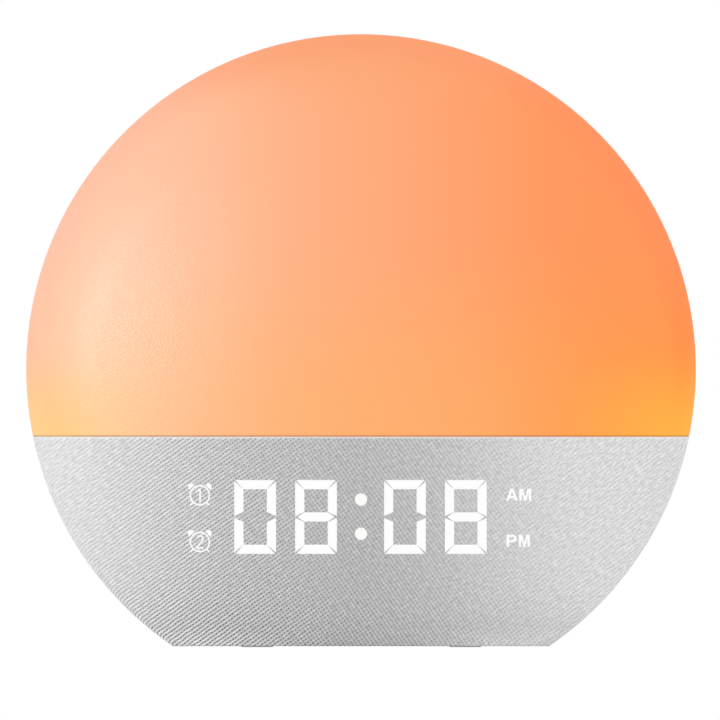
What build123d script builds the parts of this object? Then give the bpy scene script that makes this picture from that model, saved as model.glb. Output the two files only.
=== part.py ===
"""Sunrise alarm clock: a round lamp body cut flat at the base, with a frosted light dome over a
cloth-covered lower front, a digital display behind the cloth and a moulded housing behind.

Frame: +X right, +Y to the back, +Z up. The origin is on the resting plane, midway between the
front apex and the back face. The body is turned about a level axis that runs front to back.
"""

import os
from math import asin, cos, degrees, hypot, radians, sin, sqrt

from build123d import *

os.makedirs("parts", exist_ok=True)

# ---------------------------------------------------------------- driving sizes, millimetres
body_radius = 90.0
base_half_width = 50.52  # half the chord that the flat base cuts off
seam_height = 56.53  # from the flat base up to the seam between dome and cloth
front_depth = 46.0  # parting plane to front apex
front_rim_radius = 34.0
rear_depth = 38.0  # parting plane to back face
rear_rim_radius = 26.0

dome_wall = 2.8
fabric_thickness = 0.8
carrier_wall = 2.0
housing_wall = 2.4
base_thickness = 2.2
shelf_thickness = 1.6
board_thickness = 1.6

glue_gap = 0.05  # between pieces that are bonded or rest on each other
slide_gap = 0.2  # between pieces that are fitted by hand
seam_gap = 0.3
parting_gap = 0.15

base_margin = 5.8  # width of the flange around the base opening
base_front_margin = 6.0
seam_flange_width = 8.0
tongue_inset = 1.0  # the dome's tongue stands behind the seam
fabric_return = 3.5

lip_reach = 3.0
lip_thickness = 1.2
lip_root = 3.0
lip_clearance = 0.15
lip_floor = 8.0  # the lip stops above the base flanges

hook_half_angle = 4.0
hook_thickness = 1.3
hook_catch = 0.9
hook_root = 5.0
dome_hooks = (30.0, 60.0, 90.0, 120.0, 150.0)  # directions seen from the front, from +X
carrier_hooks = (-24.0, 204.0)

foot_radius = 4.5
foot_proud = 0.25
foot_height = 1.05
foot_x = 28.0
foot_middle_y = 8.2
foot_spread_y = 14.0
foot_pocket = 0.8
foot_edge = 0.4

screw_shank_radius = 1.2
screw_head_radius = 2.5
screw_head_height = 1.6
screw_play = 0.1
drive_cross = (2.6, 0.6)
drive_depth = 0.7
post_radius = 3.2
post_margin = 4.0  # from a control board edge to its posts
base_post_margin = 6.55  # from the opening's side to the posts
base_post_height = 9.0
base_web_reach = 30.0
base_front_post_y = -2.5
base_rear_post_y = 19.0
base_screw_head = 1.2
pilot_depth = 3.4
screw_reach = 2.8  # into the post
ear_screw_reach = 2.6

cell_radius = 10.0
cell_height = 3.2
cell_edge = 0.3
cap_radius = 12.0
cap_thickness = 1.9
lug_reach = 1.6
lug_height = 1.2
lug_angle = 30.0
cap_turn = 60.0
cap_y = 9.0
coin_slot = (13.0, 1.8, 0.9)
well_wall = 1.4
cap_sink = 0.1  # cap face above the base plate's face
cap_play = 0.15
lug_play = 0.25
cell_play = 0.5
contact_thickness = 0.2
contact_width = 3.0

digit_height = 20.0
digit_width = 11.2
segment_width = 2.4
corner_gap = 0.55
inner_gap = 0.15
middle_gap = 0.35
digit_near_x = 12.0
digit_far_x = 28.2
display_height = 34.8  # display centre above the cut face
colon_dot_radius = 1.65
colon_spread = 4.6
icon_x = 43.2
icon_spread = 6.2
icon_size = (6.0, 5.8)
guide_play = 0.12
film_lift = 0.05
film_thickness = 0.15
shroud_size = (94.0, 24.0)
display_board_size = (106.0, 24.0)
board_clearance = 0.25  # display board's corners to the carrier
display_post_margin = 2.5
display_post_z = 7.0
segment_led = (1.6, 0.7, 0.8)

reflector_wall = 1.2
led_board_radius = 60.0
led_board_y = 14.0
led_chip = (5.0, 1.6, 5.0)
led_outer_ring = 48.0
led_inner_ring = 26.0
led_outer_count = 11
led_inner_count = 6
led_post_ring = 54.5
led_lowest = 7.2  # middles of the lowest chips above the shelf
led_window = 4.6
led_posts = (20.0, 60.0, 120.0, 160.0)
reflector_plate_radius = 62.0
reflector_rim_y = 3.0
shelf_inset = 5.2
shelf_ledge = (60.0, 8.0, 2.0)

control_rise = 17.6  # keys' middle above the turning axis
control_board_size = (86.0, 44.0)
key_size = (12.0, 8.0)
key_corner = 2.4
key_columns = 4  # in two rows
key_pitch_x = 18.0
key_pitch_z = 16.0
key_play = 0.2
key_flange = 0.9
key_flange_thickness = 1.0
key_travel = 0.5
key_edge = 0.6
key_recess = 1.2
key_proud = 1.0
recess_margin = 5.0
plunger_radius = 1.7
plunger_fit = 0.08
switch_size = (6.0, 3.1, 6.0)
switch_bore = 1.5
control_board_back = 8.75  # housing face to the board's rear side
recess_corner = 7.0
pad_margin = 2.4

speaker_z = 33.5
speaker_radius = 20.0
speaker_hole_radius = 17.5
basket_wall = 0.9
basket_depth = 9.5
basket_floor_radius = 10.5
basket_throat = 16.7
basket_window = (9.0, 4.5)
gasket_thickness = 0.95
cone_wall = 0.4
coil_radius = 4.2
coil_wall = 0.3
coil_gap = 0.35
coil_length = 7.0
cone_edge = 14.2
cone_depth = 7.1
roll_radius = 1.5
roll_wall = 0.3
rim_width = 0.7
dust_cap_radius = 5.2
dust_cap_rise = 1.6
magnet_radius = 13.0
magnet_bore = 7.0
magnet_depth = 5.0
yoke_radius = 11.5
yoke_thickness = 2.0
pole_radius = 3.5
ear_ring = 23.5
ear_radius = 3.4
grille_radius = 20.5
grille_thickness = 1.2
grille_hole = 1.45
grille_pitch = 3.8
grille_open_radius = 16.2

jack_x = 41.0
jack_z = 38.0
jack_pocket_radius = 5.5
jack_pocket_depth = 4.8
jack_bore = 2.85
jack_pin = 1.0
jack_pin_edge = 0.3
jack_nose_radius = 4.0
jack_floor = 1.4
jack_depth = 9.5
jack_body = (9.0, 12.0, 11.0)

ribbon_width = 12.0
ribbon_thickness = 0.3
ribbon_inset = 14.0  # from the control board's end
ribbon_y = 24.0
ribbon_height = 42.0
ribbon_bend = 4.0
ribbon_plug = (14.0, 3.0, 3.4)
plug_below_controls = 14.0
shelf_slot = (22.0, 9.0)

# ---------------------------------------------------------------- places worked out from them
base_drop = sqrt(body_radius**2 - base_half_width**2)
cut_z = foot_proud
centre_z = cut_z + base_drop
seam_z = cut_z + seam_height
parting_y = (front_depth - rear_depth) / 2
back_y = parting_y + rear_depth
front_crown_radius = ((body_radius - front_rim_radius) ** 2 + front_depth**2 - front_rim_radius**2) / (
    2 * (front_depth - front_rim_radius)
)
crown_half_angle = degrees(asin((body_radius - front_rim_radius) / (front_crown_radius - front_rim_radius)))
profile_plane = Plane.XY.offset(centre_z)
clock_axis = Axis((0, 0, centre_z), (0, 1, 0))
below = Keep.BOTTOM
above = Keep.TOP


def level(z):
    """The level plane at a height."""
    return Plane.XY.offset(z)


def facing_front(y):
    """The upright plane at a depth, seen from the front: its x is +X and its y is +Z."""
    return Plane.XZ.offset(-y)


def facing_back(y):
    """The upright plane at a depth that extrudes towards the back: its x is -X and its y is +Z."""
    return Plane((0, y, 0), x_dir=(-1, 0, 0), z_dir=(0, 1, 0))


def front_profile(inset):
    """Half section of the front: a wide crown arc, tangent to a rim arc that ends square to the
    parting plane. An inset moves the whole surface inwards."""
    crown_centre = (0, parting_y - front_depth + front_crown_radius)
    rim_centre = (body_radius - front_rim_radius, parting_y)
    with BuildSketch(profile_plane, mode=Mode.PRIVATE) as profile:
        with BuildLine():
            crown = CenterArc(crown_centre, front_crown_radius - inset, -90, crown_half_angle)
            rim = CenterArc(
                rim_centre, front_rim_radius - inset, crown_half_angle - 90, 90 - crown_half_angle
            )
            Polyline(rim @ 1, (0, parting_y), crown @ 0)
        make_face()
    return profile.sketch


def rear_profile(inset):
    """Half section of the back: a straight belt, a rim arc and a flat back face."""
    belt_end = back_y - rear_rim_radius
    with BuildSketch(profile_plane, mode=Mode.PRIVATE) as profile:
        with BuildLine():
            rim = CenterArc(
                (body_radius - rear_rim_radius, belt_end), rear_rim_radius - inset, 0, 90
            )
            Line((body_radius - inset, parting_y), rim @ 0)
            Polyline(rim @ 1, (0, back_y - inset), (0, parting_y), (body_radius - inset, parting_y))
        make_face()
    return profile.sketch


def turned_slab(profile, low, high):
    """A half section turned about the clock's axis and kept between two heights."""
    with BuildPart(mode=Mode.PRIVATE) as slab:
        revolve(profile, axis=clock_axis)
        split(bisect_by=level(low), keep=above)
        split(bisect_by=level(high), keep=below)
    return slab.part


def front_edge_at(drop, x=0.0, inset=0.0):
    """Depth of the front rim surface at a distance below the axis and to the side."""
    reach = hypot(drop, x) - (body_radius - front_rim_radius)
    return parting_y - sqrt((front_rim_radius - inset) ** 2 - reach**2)


def rear_edge_at(drop, x=0.0):
    """Depth of the rear rim surface at a distance below the axis and to the side."""
    reach = hypot(drop, x) - (body_radius - rear_rim_radius)
    return back_y - rear_rim_radius + sqrt(rear_rim_radius**2 - reach**2)


opening_half_width = base_half_width - base_margin
opening_front_y = front_edge_at(base_drop) + base_front_margin
opening_back_y = rear_edge_at(base_drop) - base_front_margin
opening_side_front_y = front_edge_at(base_drop, opening_half_width) + base_front_margin + 2
opening_side_back_y = rear_edge_at(base_drop, opening_half_width) - base_front_margin - 2


def base_opening(grow=0.0):
    """Outline of the opening in the base: two long bows joined by short straight sides."""
    with BuildSketch(mode=Mode.PRIVATE) as outline:
        with BuildLine():
            front_bow = ThreePointArc(
                (-opening_half_width, opening_side_front_y),
                (0, opening_front_y),
                (opening_half_width, opening_side_front_y),
            )
            back_bow = ThreePointArc(
                (opening_half_width, opening_side_back_y),
                (0, opening_back_y),
                (-opening_half_width, opening_side_back_y),
            )
            Line(front_bow @ 1, back_bow @ 0)
            Line(back_bow @ 1, front_bow @ 0)
        make_face()
        if grow:
            offset(amount=grow, kind=Kind.INTERSECTION)
    return outline.sketch


def drive_recesses(plane, places):
    """Cross recesses for a screwdriver, as deep as the drive and extruded from a plane."""
    with BuildPart(mode=Mode.PRIVATE) as recesses:
        with BuildSketch(plane):
            with Locations(*places):
                Rectangle(*drive_cross)
                Rectangle(*drive_cross[::-1])
        extrude(amount=drive_depth)
    return recesses.part


def save(part, name):
    """Labels a finished piece and writes it."""
    part.label = name
    export_step(part, f"parts/{name}.step")


# ---------------------------------------------------------------- front: cloth over its carrier
carrier_inset = fabric_thickness + glue_gap
fabric_top = seam_z - seam_gap / 2
carrier_top = fabric_top - fabric_thickness - glue_gap
carrier_bottom = cut_z + fabric_thickness + glue_gap
carrier_inner = carrier_inset + carrier_wall

lip_floor_z = cut_z + lip_floor
stack = max(dome_wall, carrier_inner)
lip_rim = front_rim_radius - stack
lip_outer = body_radius - stack - (lip_rim - sqrt(lip_rim**2 - lip_reach**2)) - lip_clearance
lip_inner = lip_outer - lip_thickness
lip_front_y = parting_y - lip_reach
lip_end_y = parting_y + lip_root
hook_outer = lip_inner - slide_gap
hook_inner = hook_outer - hook_thickness

with BuildPart() as lip_relief:
    with BuildSketch(facing_back(lip_front_y - slide_gap)):
        with Locations((0, centre_z)):
            Circle(lip_outer + lip_clearance)
    extrude(amount=lip_reach + slide_gap + lip_root)
    split(bisect_by=level(lip_floor_z - slide_gap), keep=above)

fabric_outer = turned_slab(front_profile(0), cut_z, fabric_top)
fabric_inner = turned_slab(
    front_profile(fabric_thickness), cut_z + fabric_thickness, fabric_top - fabric_thickness
)
fabric_core = turned_slab(front_profile(fabric_thickness + fabric_return), seam_z / 2, seam_z)
with BuildPart() as fabric_cover:
    add(fabric_outer)
    add(fabric_inner, mode=Mode.SUBTRACT)
    add(fabric_core, mode=Mode.SUBTRACT)
    with BuildSketch(level(0)):
        add(base_opening(1.0))
    extrude(amount=seam_z / 2, mode=Mode.SUBTRACT)
    add(lip_relief.part, mode=Mode.SUBTRACT)
save(fabric_cover.part, "fabric_cover")


def snap_hooks(angles):
    """Snap hooks that reach through the parting plane and catch behind the housing's lip."""
    start_y = parting_y - hook_root
    clear_y = parting_y - lip_reach - slide_gap
    catch_y = lip_end_y + glue_gap
    end_y = lip_end_y + 2 * hook_catch
    root_radius = body_radius - stack / 2
    with BuildPart(mode=Mode.PRIVATE) as hooks:
        for angle in angles:
            first = radians(angle + hook_half_angle)
            blade_plane = Plane(
                (0, 0, centre_z), x_dir=(cos(first), 0, sin(first)), z_dir=(-sin(first), 0, cos(first))
            )
            with BuildSketch(blade_plane):
                with BuildLine():
                    Polyline(
                        (hook_inner, start_y),
                        (root_radius, start_y),
                        (root_radius, clear_y),
                        (hook_outer, clear_y),
                        (hook_outer, catch_y),
                        (hook_outer + hook_catch, catch_y),
                        (hook_outer, end_y),
                        (hook_inner, end_y),
                        close=True,
                    )
                make_face()
            revolve(axis=clock_axis, revolution_arc=2 * hook_half_angle)
    return hooks.part


# The carrier is a C-shaped moulding: skin, seam flange on top and base flange below.
carrier_skin = turned_slab(front_profile(carrier_inset), carrier_bottom, carrier_top)
carrier_cavity = turned_slab(
    front_profile(carrier_inner), carrier_bottom + carrier_wall, carrier_top - carrier_wall
)
seam_opening = turned_slab(front_profile(carrier_inset + seam_flange_width), seam_z / 2, seam_z)
carrier_posts_limit = turned_slab(front_profile(carrier_inset + carrier_wall / 2), cut_z, seam_z)
carrier_snaps = snap_hooks(carrier_hooks)

display_z = cut_z + display_height
display_post_x = display_board_size[0] / 2 - display_post_margin
board_corner_drop = centre_z - display_z + display_board_size[1] / 2
board_front_y = front_edge_at(board_corner_drop, display_board_size[0] / 2, carrier_inner) + board_clearance
board_rear_y = board_front_y + board_thickness
display_posts = [
    (x, z) for x in (-display_post_x, display_post_x) for z in (-display_post_z, display_post_z)
]
base_plate_top = cut_z + base_thickness
post_foot_z = base_plate_top + glue_gap
base_post_x = opening_half_width - base_post_margin
front_base_posts = [(-base_post_x, base_front_post_y), (base_post_x, base_front_post_y)]
rear_base_posts = [(-base_post_x, base_rear_post_y), (base_post_x, base_rear_post_y)]

with BuildPart() as carrier_posts:
    with BuildSketch(facing_front(board_front_y - glue_gap)):
        with Locations((0, display_z)):
            with Locations(*display_posts):
                Circle(post_radius)
    extrude(amount=front_depth)
    with BuildSketch(level(post_foot_z)):
        with Locations(*front_base_posts):
            Circle(post_radius)
            Rectangle(carrier_wall, base_web_reach, align=(Align.CENTER, Align.MAX))
    extrude(amount=base_post_height)
    add(carrier_posts_limit, mode=Mode.INTERSECT)

with BuildPart() as fabric_carrier:
    add(carrier_skin)
    add(carrier_cavity, mode=Mode.SUBTRACT)
    add(seam_opening, mode=Mode.SUBTRACT)
    with BuildSketch(level(0)):
        add(base_opening())
    extrude(amount=carrier_bottom + carrier_wall + glue_gap, mode=Mode.SUBTRACT)
    add(lip_relief.part, mode=Mode.SUBTRACT)
    add(carrier_posts.part)
    add(carrier_snaps)
    with BuildSketch(facing_front(parting_y)):
        with Locations((0, display_z)):
            RectangleRounded(shroud_size[0] + 2 * slide_gap, shroud_size[1] + 2 * slide_gap, 1)
    extrude(amount=front_depth, mode=Mode.SUBTRACT)
    with BuildSketch(facing_front(board_front_y)):
        with Locations((0, display_z)):
            with Locations(*display_posts):
                Circle(screw_shank_radius + glue_gap)
    extrude(amount=pilot_depth, mode=Mode.SUBTRACT)
    with BuildSketch(level(post_foot_z)):
        with Locations(*front_base_posts):
            Circle(screw_shank_radius + glue_gap)
    extrude(amount=pilot_depth, mode=Mode.SUBTRACT)
save(fabric_carrier.part, "fabric_carrier")

# ---------------------------------------------------------------- front: the frosted light dome
dome_bottom = seam_z + seam_gap / 2
dome_top = centre_z + body_radius + 1
dome_outer = turned_slab(front_profile(0), dome_bottom, dome_top)
dome_inner = turned_slab(front_profile(dome_wall), cut_z, dome_top)
dome_tongue = turned_slab(front_profile(tongue_inset), fabric_top + glue_gap, dome_bottom)
dome_snaps = snap_hooks(dome_hooks)
with BuildPart() as diffuser_dome:
    add(dome_outer)
    add(dome_tongue)
    add(dome_inner, mode=Mode.SUBTRACT)
    add(dome_snaps)
save(diffuser_dome.part, "diffuser_dome")

# ---------------------------------------------------------------- display behind the cloth
half_digit = digit_width / 2
half_height = digit_height / 2
shroud_face_inset = carrier_inset
guide_face_inset = carrier_inset + glue_gap


def bar_outlines():
    """The seven bars of a digit, keyed a to g from the top clockwise, then the middle."""
    inner_x = half_digit - segment_width
    inner_z = half_height - segment_width
    waist = segment_width / 2
    top = [
        (-half_digit + corner_gap, half_height),
        (half_digit - corner_gap, half_height),
        (inner_x - inner_gap, inner_z),
        (-inner_x + inner_gap, inner_z),
    ]
    upper_right = [
        (half_digit, half_height - corner_gap),
        (inner_x, inner_z - inner_gap),
        (inner_x, waist + inner_gap),
        (half_digit, middle_gap),
    ]
    middle = [
        (-half_digit + 2 * middle_gap, 0),
        (-inner_x, waist - inner_gap),
        (inner_x, waist - inner_gap),
        (half_digit - 2 * middle_gap, 0),
        (inner_x, inner_gap - waist),
        (-inner_x, inner_gap - waist),
    ]
    return {
        "a": top,
        "b": upper_right,
        "c": [(x, -z) for x, z in upper_right],
        "d": [(x, -z) for x, z in top],
        "e": [(-x, -z) for x, z in upper_right],
        "f": [(-x, z) for x, z in upper_right],
        "g": middle,
    }


bars = bar_outlines()
digit_places = (-digit_far_x, -digit_near_x, digit_near_x, digit_far_x)
shown_bars = {"0": "abcdef", "8": "abcdefg"}
shown_time = "0808"
colon_places = [(0, display_z + colon_spread), (0, display_z - colon_spread)]
icon_places = [
    (x, display_z + z) for x in (-icon_x, icon_x) for z in (icon_spread, -icon_spread)
]


def bars_sketch(plane, wanted, shrink=0.0):
    """The bars of all four digits on a plane; wanted gives the letters for each digit."""
    with BuildSketch(plane, mode=Mode.PRIVATE) as sketch:
        for x, letters in zip(digit_places, wanted):
            with Locations((x, display_z)):
                for letter in letters:
                    Polygon(*bars[letter], align=None)
        if shrink:
            offset(amount=-shrink, kind=Kind.INTERSECTION)
    return sketch.sketch


board_plane = facing_front(board_front_y - glue_gap)
shroud_limit = turned_slab(front_profile(shroud_face_inset), cut_z, seam_z)
guide_limit = turned_slab(front_profile(guide_face_inset), cut_z, seam_z)
every_bar = ["abcdefg"] * 4

with BuildPart() as display_shroud:
    with BuildSketch(board_plane):
        with Locations((0, display_z)):
            RectangleRounded(*shroud_size, 1 - slide_gap)
    extrude(amount=front_depth)
    add(shroud_limit, mode=Mode.INTERSECT)
    extrude(bars_sketch(board_plane, every_bar), amount=front_depth, mode=Mode.SUBTRACT)
    with BuildSketch(board_plane):
        with Locations(*colon_places):
            Circle(colon_dot_radius)
        with Locations(*icon_places):
            Rectangle(*icon_size)
    extrude(amount=front_depth, mode=Mode.SUBTRACT)
save(display_shroud.part, "display_shroud")

led_room_y = board_front_y - segment_led[1] - slide_gap
guide_plane = facing_front(led_room_y)
with BuildPart() as segment_guides:
    extrude(bars_sketch(guide_plane, every_bar, guide_play), amount=front_depth)
    add(guide_limit, mode=Mode.INTERSECT)
save(segment_guides.part, "segment_guides")

with BuildPart() as colon_guides:
    with BuildSketch(guide_plane):
        with Locations(*colon_places):
            Circle(colon_dot_radius - guide_play)
    extrude(amount=front_depth)
    add(guide_limit, mode=Mode.INTERSECT)
save(colon_guides.part, "colon_guides")

with BuildPart() as indicator_guides:
    with BuildSketch(guide_plane):
        with Locations(*icon_places):
            Rectangle(icon_size[0] - 2 * guide_play, icon_size[1] - 2 * guide_play)
    extrude(amount=front_depth)
    add(guide_limit, mode=Mode.INTERSECT)
save(indicator_guides.part, "indicator_guides")

# What shows on the cloth when the clock is lit: a film of light over each lit bar and dot.
film_outer = turned_slab(front_profile(-film_lift - film_thickness), cut_z, seam_z)
film_inner = turned_slab(front_profile(-film_lift), cut_z, seam_z)
with BuildPart() as lit_digits:
    extrude(
        bars_sketch(board_plane, [shown_bars[figure] for figure in shown_time]), amount=front_depth
    )
    add(film_outer, mode=Mode.INTERSECT)
    add(film_inner, mode=Mode.SUBTRACT)
save(lit_digits.part, "lit_digits")

with BuildPart() as lit_colon:
    with BuildSketch(board_plane):
        with Locations(*colon_places):
            Circle(colon_dot_radius)
    extrude(amount=front_depth)
    add(film_outer, mode=Mode.INTERSECT)
    add(film_inner, mode=Mode.SUBTRACT)
save(lit_colon.part, "lit_colon")

bar_centres = {
    "a": (0, half_height - segment_width / 2),
    "b": (half_digit - segment_width / 2, half_height / 2),
    "c": (half_digit - segment_width / 2, -half_height / 2),
    "d": (0, segment_width / 2 - half_height),
    "e": (segment_width / 2 - half_digit, -half_height / 2),
    "f": (segment_width / 2 - half_digit, half_height / 2),
    "g": (0, 0),
}
with BuildPart() as display_leds:
    with BuildSketch(facing_front(board_front_y - glue_gap)):
        for x in digit_places:
            with Locations((x, display_z)):
                with Locations(*bar_centres.values()):
                    Rectangle(segment_led[0], segment_led[2])
        with Locations(*colon_places, *icon_places):
            Rectangle(segment_led[0], segment_led[2])
    extrude(amount=segment_led[1])
save(display_leds.part, "display_leds")

with BuildPart() as display_board:
    with BuildSketch(facing_front(board_rear_y)):
        with Locations((0, display_z)):
            RectangleRounded(*display_board_size, 1.5)
            with Locations(*display_posts):
                Circle(screw_shank_radius + screw_play, mode=Mode.SUBTRACT)
    extrude(amount=board_thickness)
save(display_board.part, "display_board")

with BuildPart() as display_screws:
    with BuildSketch(facing_back(board_rear_y + glue_gap)):
        with Locations((0, display_z)):
            with Locations(*display_posts):
                Circle(screw_head_radius)
    extrude(amount=screw_head_height)
    with BuildSketch(facing_front(board_rear_y + glue_gap)):
        with Locations((0, display_z)):
            with Locations(*display_posts):
                Circle(screw_shank_radius)
    extrude(amount=board_thickness + glue_gap + screw_reach)
    add(
        drive_recesses(
            facing_back(board_rear_y + glue_gap + screw_head_height - drive_depth),
            [(x, display_z + z) for x, z in display_posts],
        ),
        mode=Mode.SUBTRACT,
    )
save(display_screws.part, "display_screws")

# ---------------------------------------------------------------- back: moulded housing
housing_front_y = parting_y + parting_gap
inner_back_y = back_y - housing_wall
recess_size = (
    (key_columns - 1) * key_pitch_x + key_size[0] + 2 * recess_margin,
    key_pitch_z + key_size[1] + 2 * recess_margin,
)
control_z = centre_z + control_rise
ribbon_x = control_board_size[0] / 2 - ribbon_inset
recess_floor_y = back_y - key_recess
pad_inner_y = recess_floor_y - housing_wall
key_places = [
    ((column - (key_columns - 1) / 2) * key_pitch_x, control_z + (row - 0.5) * key_pitch_z)
    for row in (1, 0)
    for column in range(key_columns)
]
control_board_y = back_y - control_board_back
control_posts = [
    (x, control_z + z)
    for x in (post_margin - control_board_size[0] / 2, control_board_size[0] / 2 - post_margin)
    for z in (post_margin - control_board_size[1] / 2, control_board_size[1] / 2 - post_margin)
]
led_board_back = led_board_y + board_thickness
led_post_places = [
    (led_post_ring * cos(radians(angle)), centre_z + led_post_ring * sin(radians(angle)))
    for angle in led_posts
]
ear_places = [
    (ear_ring * cos(radians(angle)), speaker_z + ear_ring * sin(radians(angle)))
    for angle in (45, 135, 225, 315)
]
gasket_front_y = inner_back_y - glue_gap - gasket_thickness
flange_y = gasket_front_y - glue_gap
shelf_z = carrier_top + glue_gap
grille_seat_y = back_y - grille_thickness - glue_gap
jack_floor_y = back_y - jack_pocket_depth
pilot_radius = screw_shank_radius + glue_gap


def mirrored(places):
    """Places for a plane whose x runs to -X."""
    return [(-x, z) for x, z in places]


rear_post_limit = turned_slab(rear_profile(housing_wall / 2), cut_z, dome_top)
with BuildPart() as housing_posts:
    with BuildSketch(facing_back(led_board_back + glue_gap)):
        with Locations(*mirrored(led_post_places)):
            Circle(post_radius)
    extrude(amount=rear_depth)
    with BuildSketch(facing_back(control_board_y + glue_gap)):
        with Locations(*mirrored(control_posts)):
            Circle(post_radius)
    extrude(amount=rear_depth)
    with BuildSketch(facing_back(flange_y + glue_gap)):
        with Locations(*mirrored(ear_places)):
            Circle(post_radius)
    extrude(amount=rear_depth)
    with BuildSketch(level(post_foot_z)):
        with Locations(*rear_base_posts):
            Circle(post_radius)
            Rectangle(carrier_wall, base_web_reach, align=(Align.CENTER, Align.MIN))
    extrude(amount=base_post_height)
    with BuildSketch(level(shelf_z - glue_gap)):
        with Locations((0, inner_back_y)):
            Rectangle(shelf_ledge[0], 2 * shelf_ledge[1])
    extrude(amount=-shelf_ledge[2])
    with BuildSketch(facing_back(jack_floor_y - jack_floor)):
        with Locations((-jack_x, jack_z)):
            Circle(jack_pocket_radius + jack_floor)
    extrude(amount=rear_depth)
    with BuildSketch(facing_back(pad_inner_y)):
        with Locations((0, control_z)):
            RectangleRounded(
                recess_size[0] + 2 * pad_margin, recess_size[1] + 2 * pad_margin, recess_corner
            )
    extrude(amount=rear_depth)
    add(rear_post_limit, mode=Mode.INTERSECT)

with BuildPart() as housing_lip:
    with BuildSketch(facing_back(lip_front_y)):
        with Locations((0, centre_z)):
            Circle(lip_outer)
            Circle(lip_inner, mode=Mode.SUBTRACT)
    extrude(amount=lip_end_y - lip_front_y)
    with BuildSketch(facing_back(housing_front_y)):
        with Locations((0, centre_z)):
            Circle(body_radius - housing_wall / 2)
            Circle(lip_inner, mode=Mode.SUBTRACT)
    extrude(amount=lip_end_y - housing_front_y)
    split(bisect_by=level(lip_floor_z), keep=above)

housing_outer = turned_slab(rear_profile(0), cut_z, dome_top)
housing_inner = turned_slab(rear_profile(housing_wall), cut_z + base_thickness, dome_top)
with BuildPart() as rear_housing:
    add(housing_outer)
    split(bisect_by=facing_back(housing_front_y), keep=above)
    add(housing_inner, mode=Mode.SUBTRACT)
    add(housing_lip.part)
    add(housing_posts.part)
    with BuildSketch(level(0)):
        add(base_opening())
    extrude(amount=base_plate_top + glue_gap, mode=Mode.SUBTRACT)
    # from the back: control recess, grille seat, jack pocket
    with BuildSketch(facing_back(recess_floor_y)):
        with Locations((0, control_z)):
            RectangleRounded(*recess_size, recess_corner)
    extrude(amount=2 * key_recess, mode=Mode.SUBTRACT)
    with BuildSketch(facing_back(pad_inner_y)):
        with Locations(*mirrored(key_places)):
            RectangleRounded(key_size[0] + 2 * key_play, key_size[1] + 2 * key_play, key_corner)
    extrude(amount=rear_depth, mode=Mode.SUBTRACT)
    with BuildSketch(facing_back(grille_seat_y)):
        with Locations((0, speaker_z)):
            Circle(grille_radius + slide_gap)
    extrude(amount=2 * grille_thickness, mode=Mode.SUBTRACT)
    with BuildSketch(facing_back(inner_back_y)):
        with Locations((0, speaker_z)):
            Circle(speaker_hole_radius)
    extrude(amount=2 * housing_wall, mode=Mode.SUBTRACT)
    with BuildSketch(facing_back(jack_floor_y)):
        with Locations((-jack_x, jack_z)):
            Circle(jack_pocket_radius)
    extrude(amount=2 * jack_pocket_depth, mode=Mode.SUBTRACT)
    with BuildSketch(facing_back(jack_floor_y - jack_floor)):
        with Locations((-jack_x, jack_z)):
            Circle(jack_nose_radius + slide_gap / 2)
    extrude(amount=2 * jack_floor, mode=Mode.SUBTRACT)
    # screw holes in the posts
    with BuildSketch(facing_back(led_board_back)):
        with Locations(*mirrored(led_post_places)):
            Circle(pilot_radius)
    extrude(amount=pilot_depth, mode=Mode.SUBTRACT)
    with BuildSketch(facing_back(control_board_y)):
        with Locations(*mirrored(control_posts)):
            Circle(pilot_radius)
    extrude(amount=pilot_depth, mode=Mode.SUBTRACT)
    with BuildSketch(facing_back(flange_y)):
        with Locations(*mirrored(ear_places)):
            Circle(pilot_radius)
    extrude(amount=ear_screw_reach + glue_gap, mode=Mode.SUBTRACT)
    with BuildSketch(level(post_foot_z)):
        with Locations(*rear_base_posts):
            Circle(pilot_radius)
    extrude(amount=pilot_depth, mode=Mode.SUBTRACT)
save(rear_housing.part, "rear_housing")

shelf_outline_front = turned_slab(
    front_profile(shelf_inset), shelf_z, shelf_z + shelf_thickness
)
shelf_outline_rear = turned_slab(rear_profile(shelf_inset), shelf_z, shelf_z + shelf_thickness)
with BuildPart() as divider_shelf:
    add(shelf_outline_front)
    add(shelf_outline_rear)
    with BuildSketch(level(shelf_z)):
        with Locations((ribbon_x, ribbon_y)):
            RectangleRounded(*shelf_slot, 2)
    extrude(amount=shelf_thickness, mode=Mode.SUBTRACT)
save(divider_shelf.part, "divider_shelf")

# ---------------------------------------------------------------- base plate, feet and cell
plate_face = level(cut_z)
foot_places = [
    (x, foot_middle_y + y) for x in (-foot_x, foot_x) for y in (-foot_spread_y, foot_spread_y)
]
cap_z = cut_z + cap_sink
cap_top_z = cap_z + cap_thickness
lug_z = base_plate_top + glue_gap
lug_outer = cap_radius + lug_reach
chamber_radius = lug_outer + lug_play
chamber_top_z = lug_z + lug_height + lug_play
cell_z = chamber_top_z
cell_top_z = cell_z + cell_height
well_radius = cell_radius + cell_play
well_top_z = cell_top_z + glue_gap + contact_thickness + glue_gap
half_lug = lug_angle / 2


def sector(radius, start, sweep):
    """A slice of a disc for the open sketch, as an outline of two straight sides and an arc."""
    with BuildSketch(mode=Mode.PRIVATE) as slice_sketch:
        with BuildLine():
            rim = CenterArc((0, 0), radius, start, sweep)
            Polyline(rim @ 1, (0, 0), rim @ 0)
        make_face()
    return slice_sketch.sketch


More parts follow.
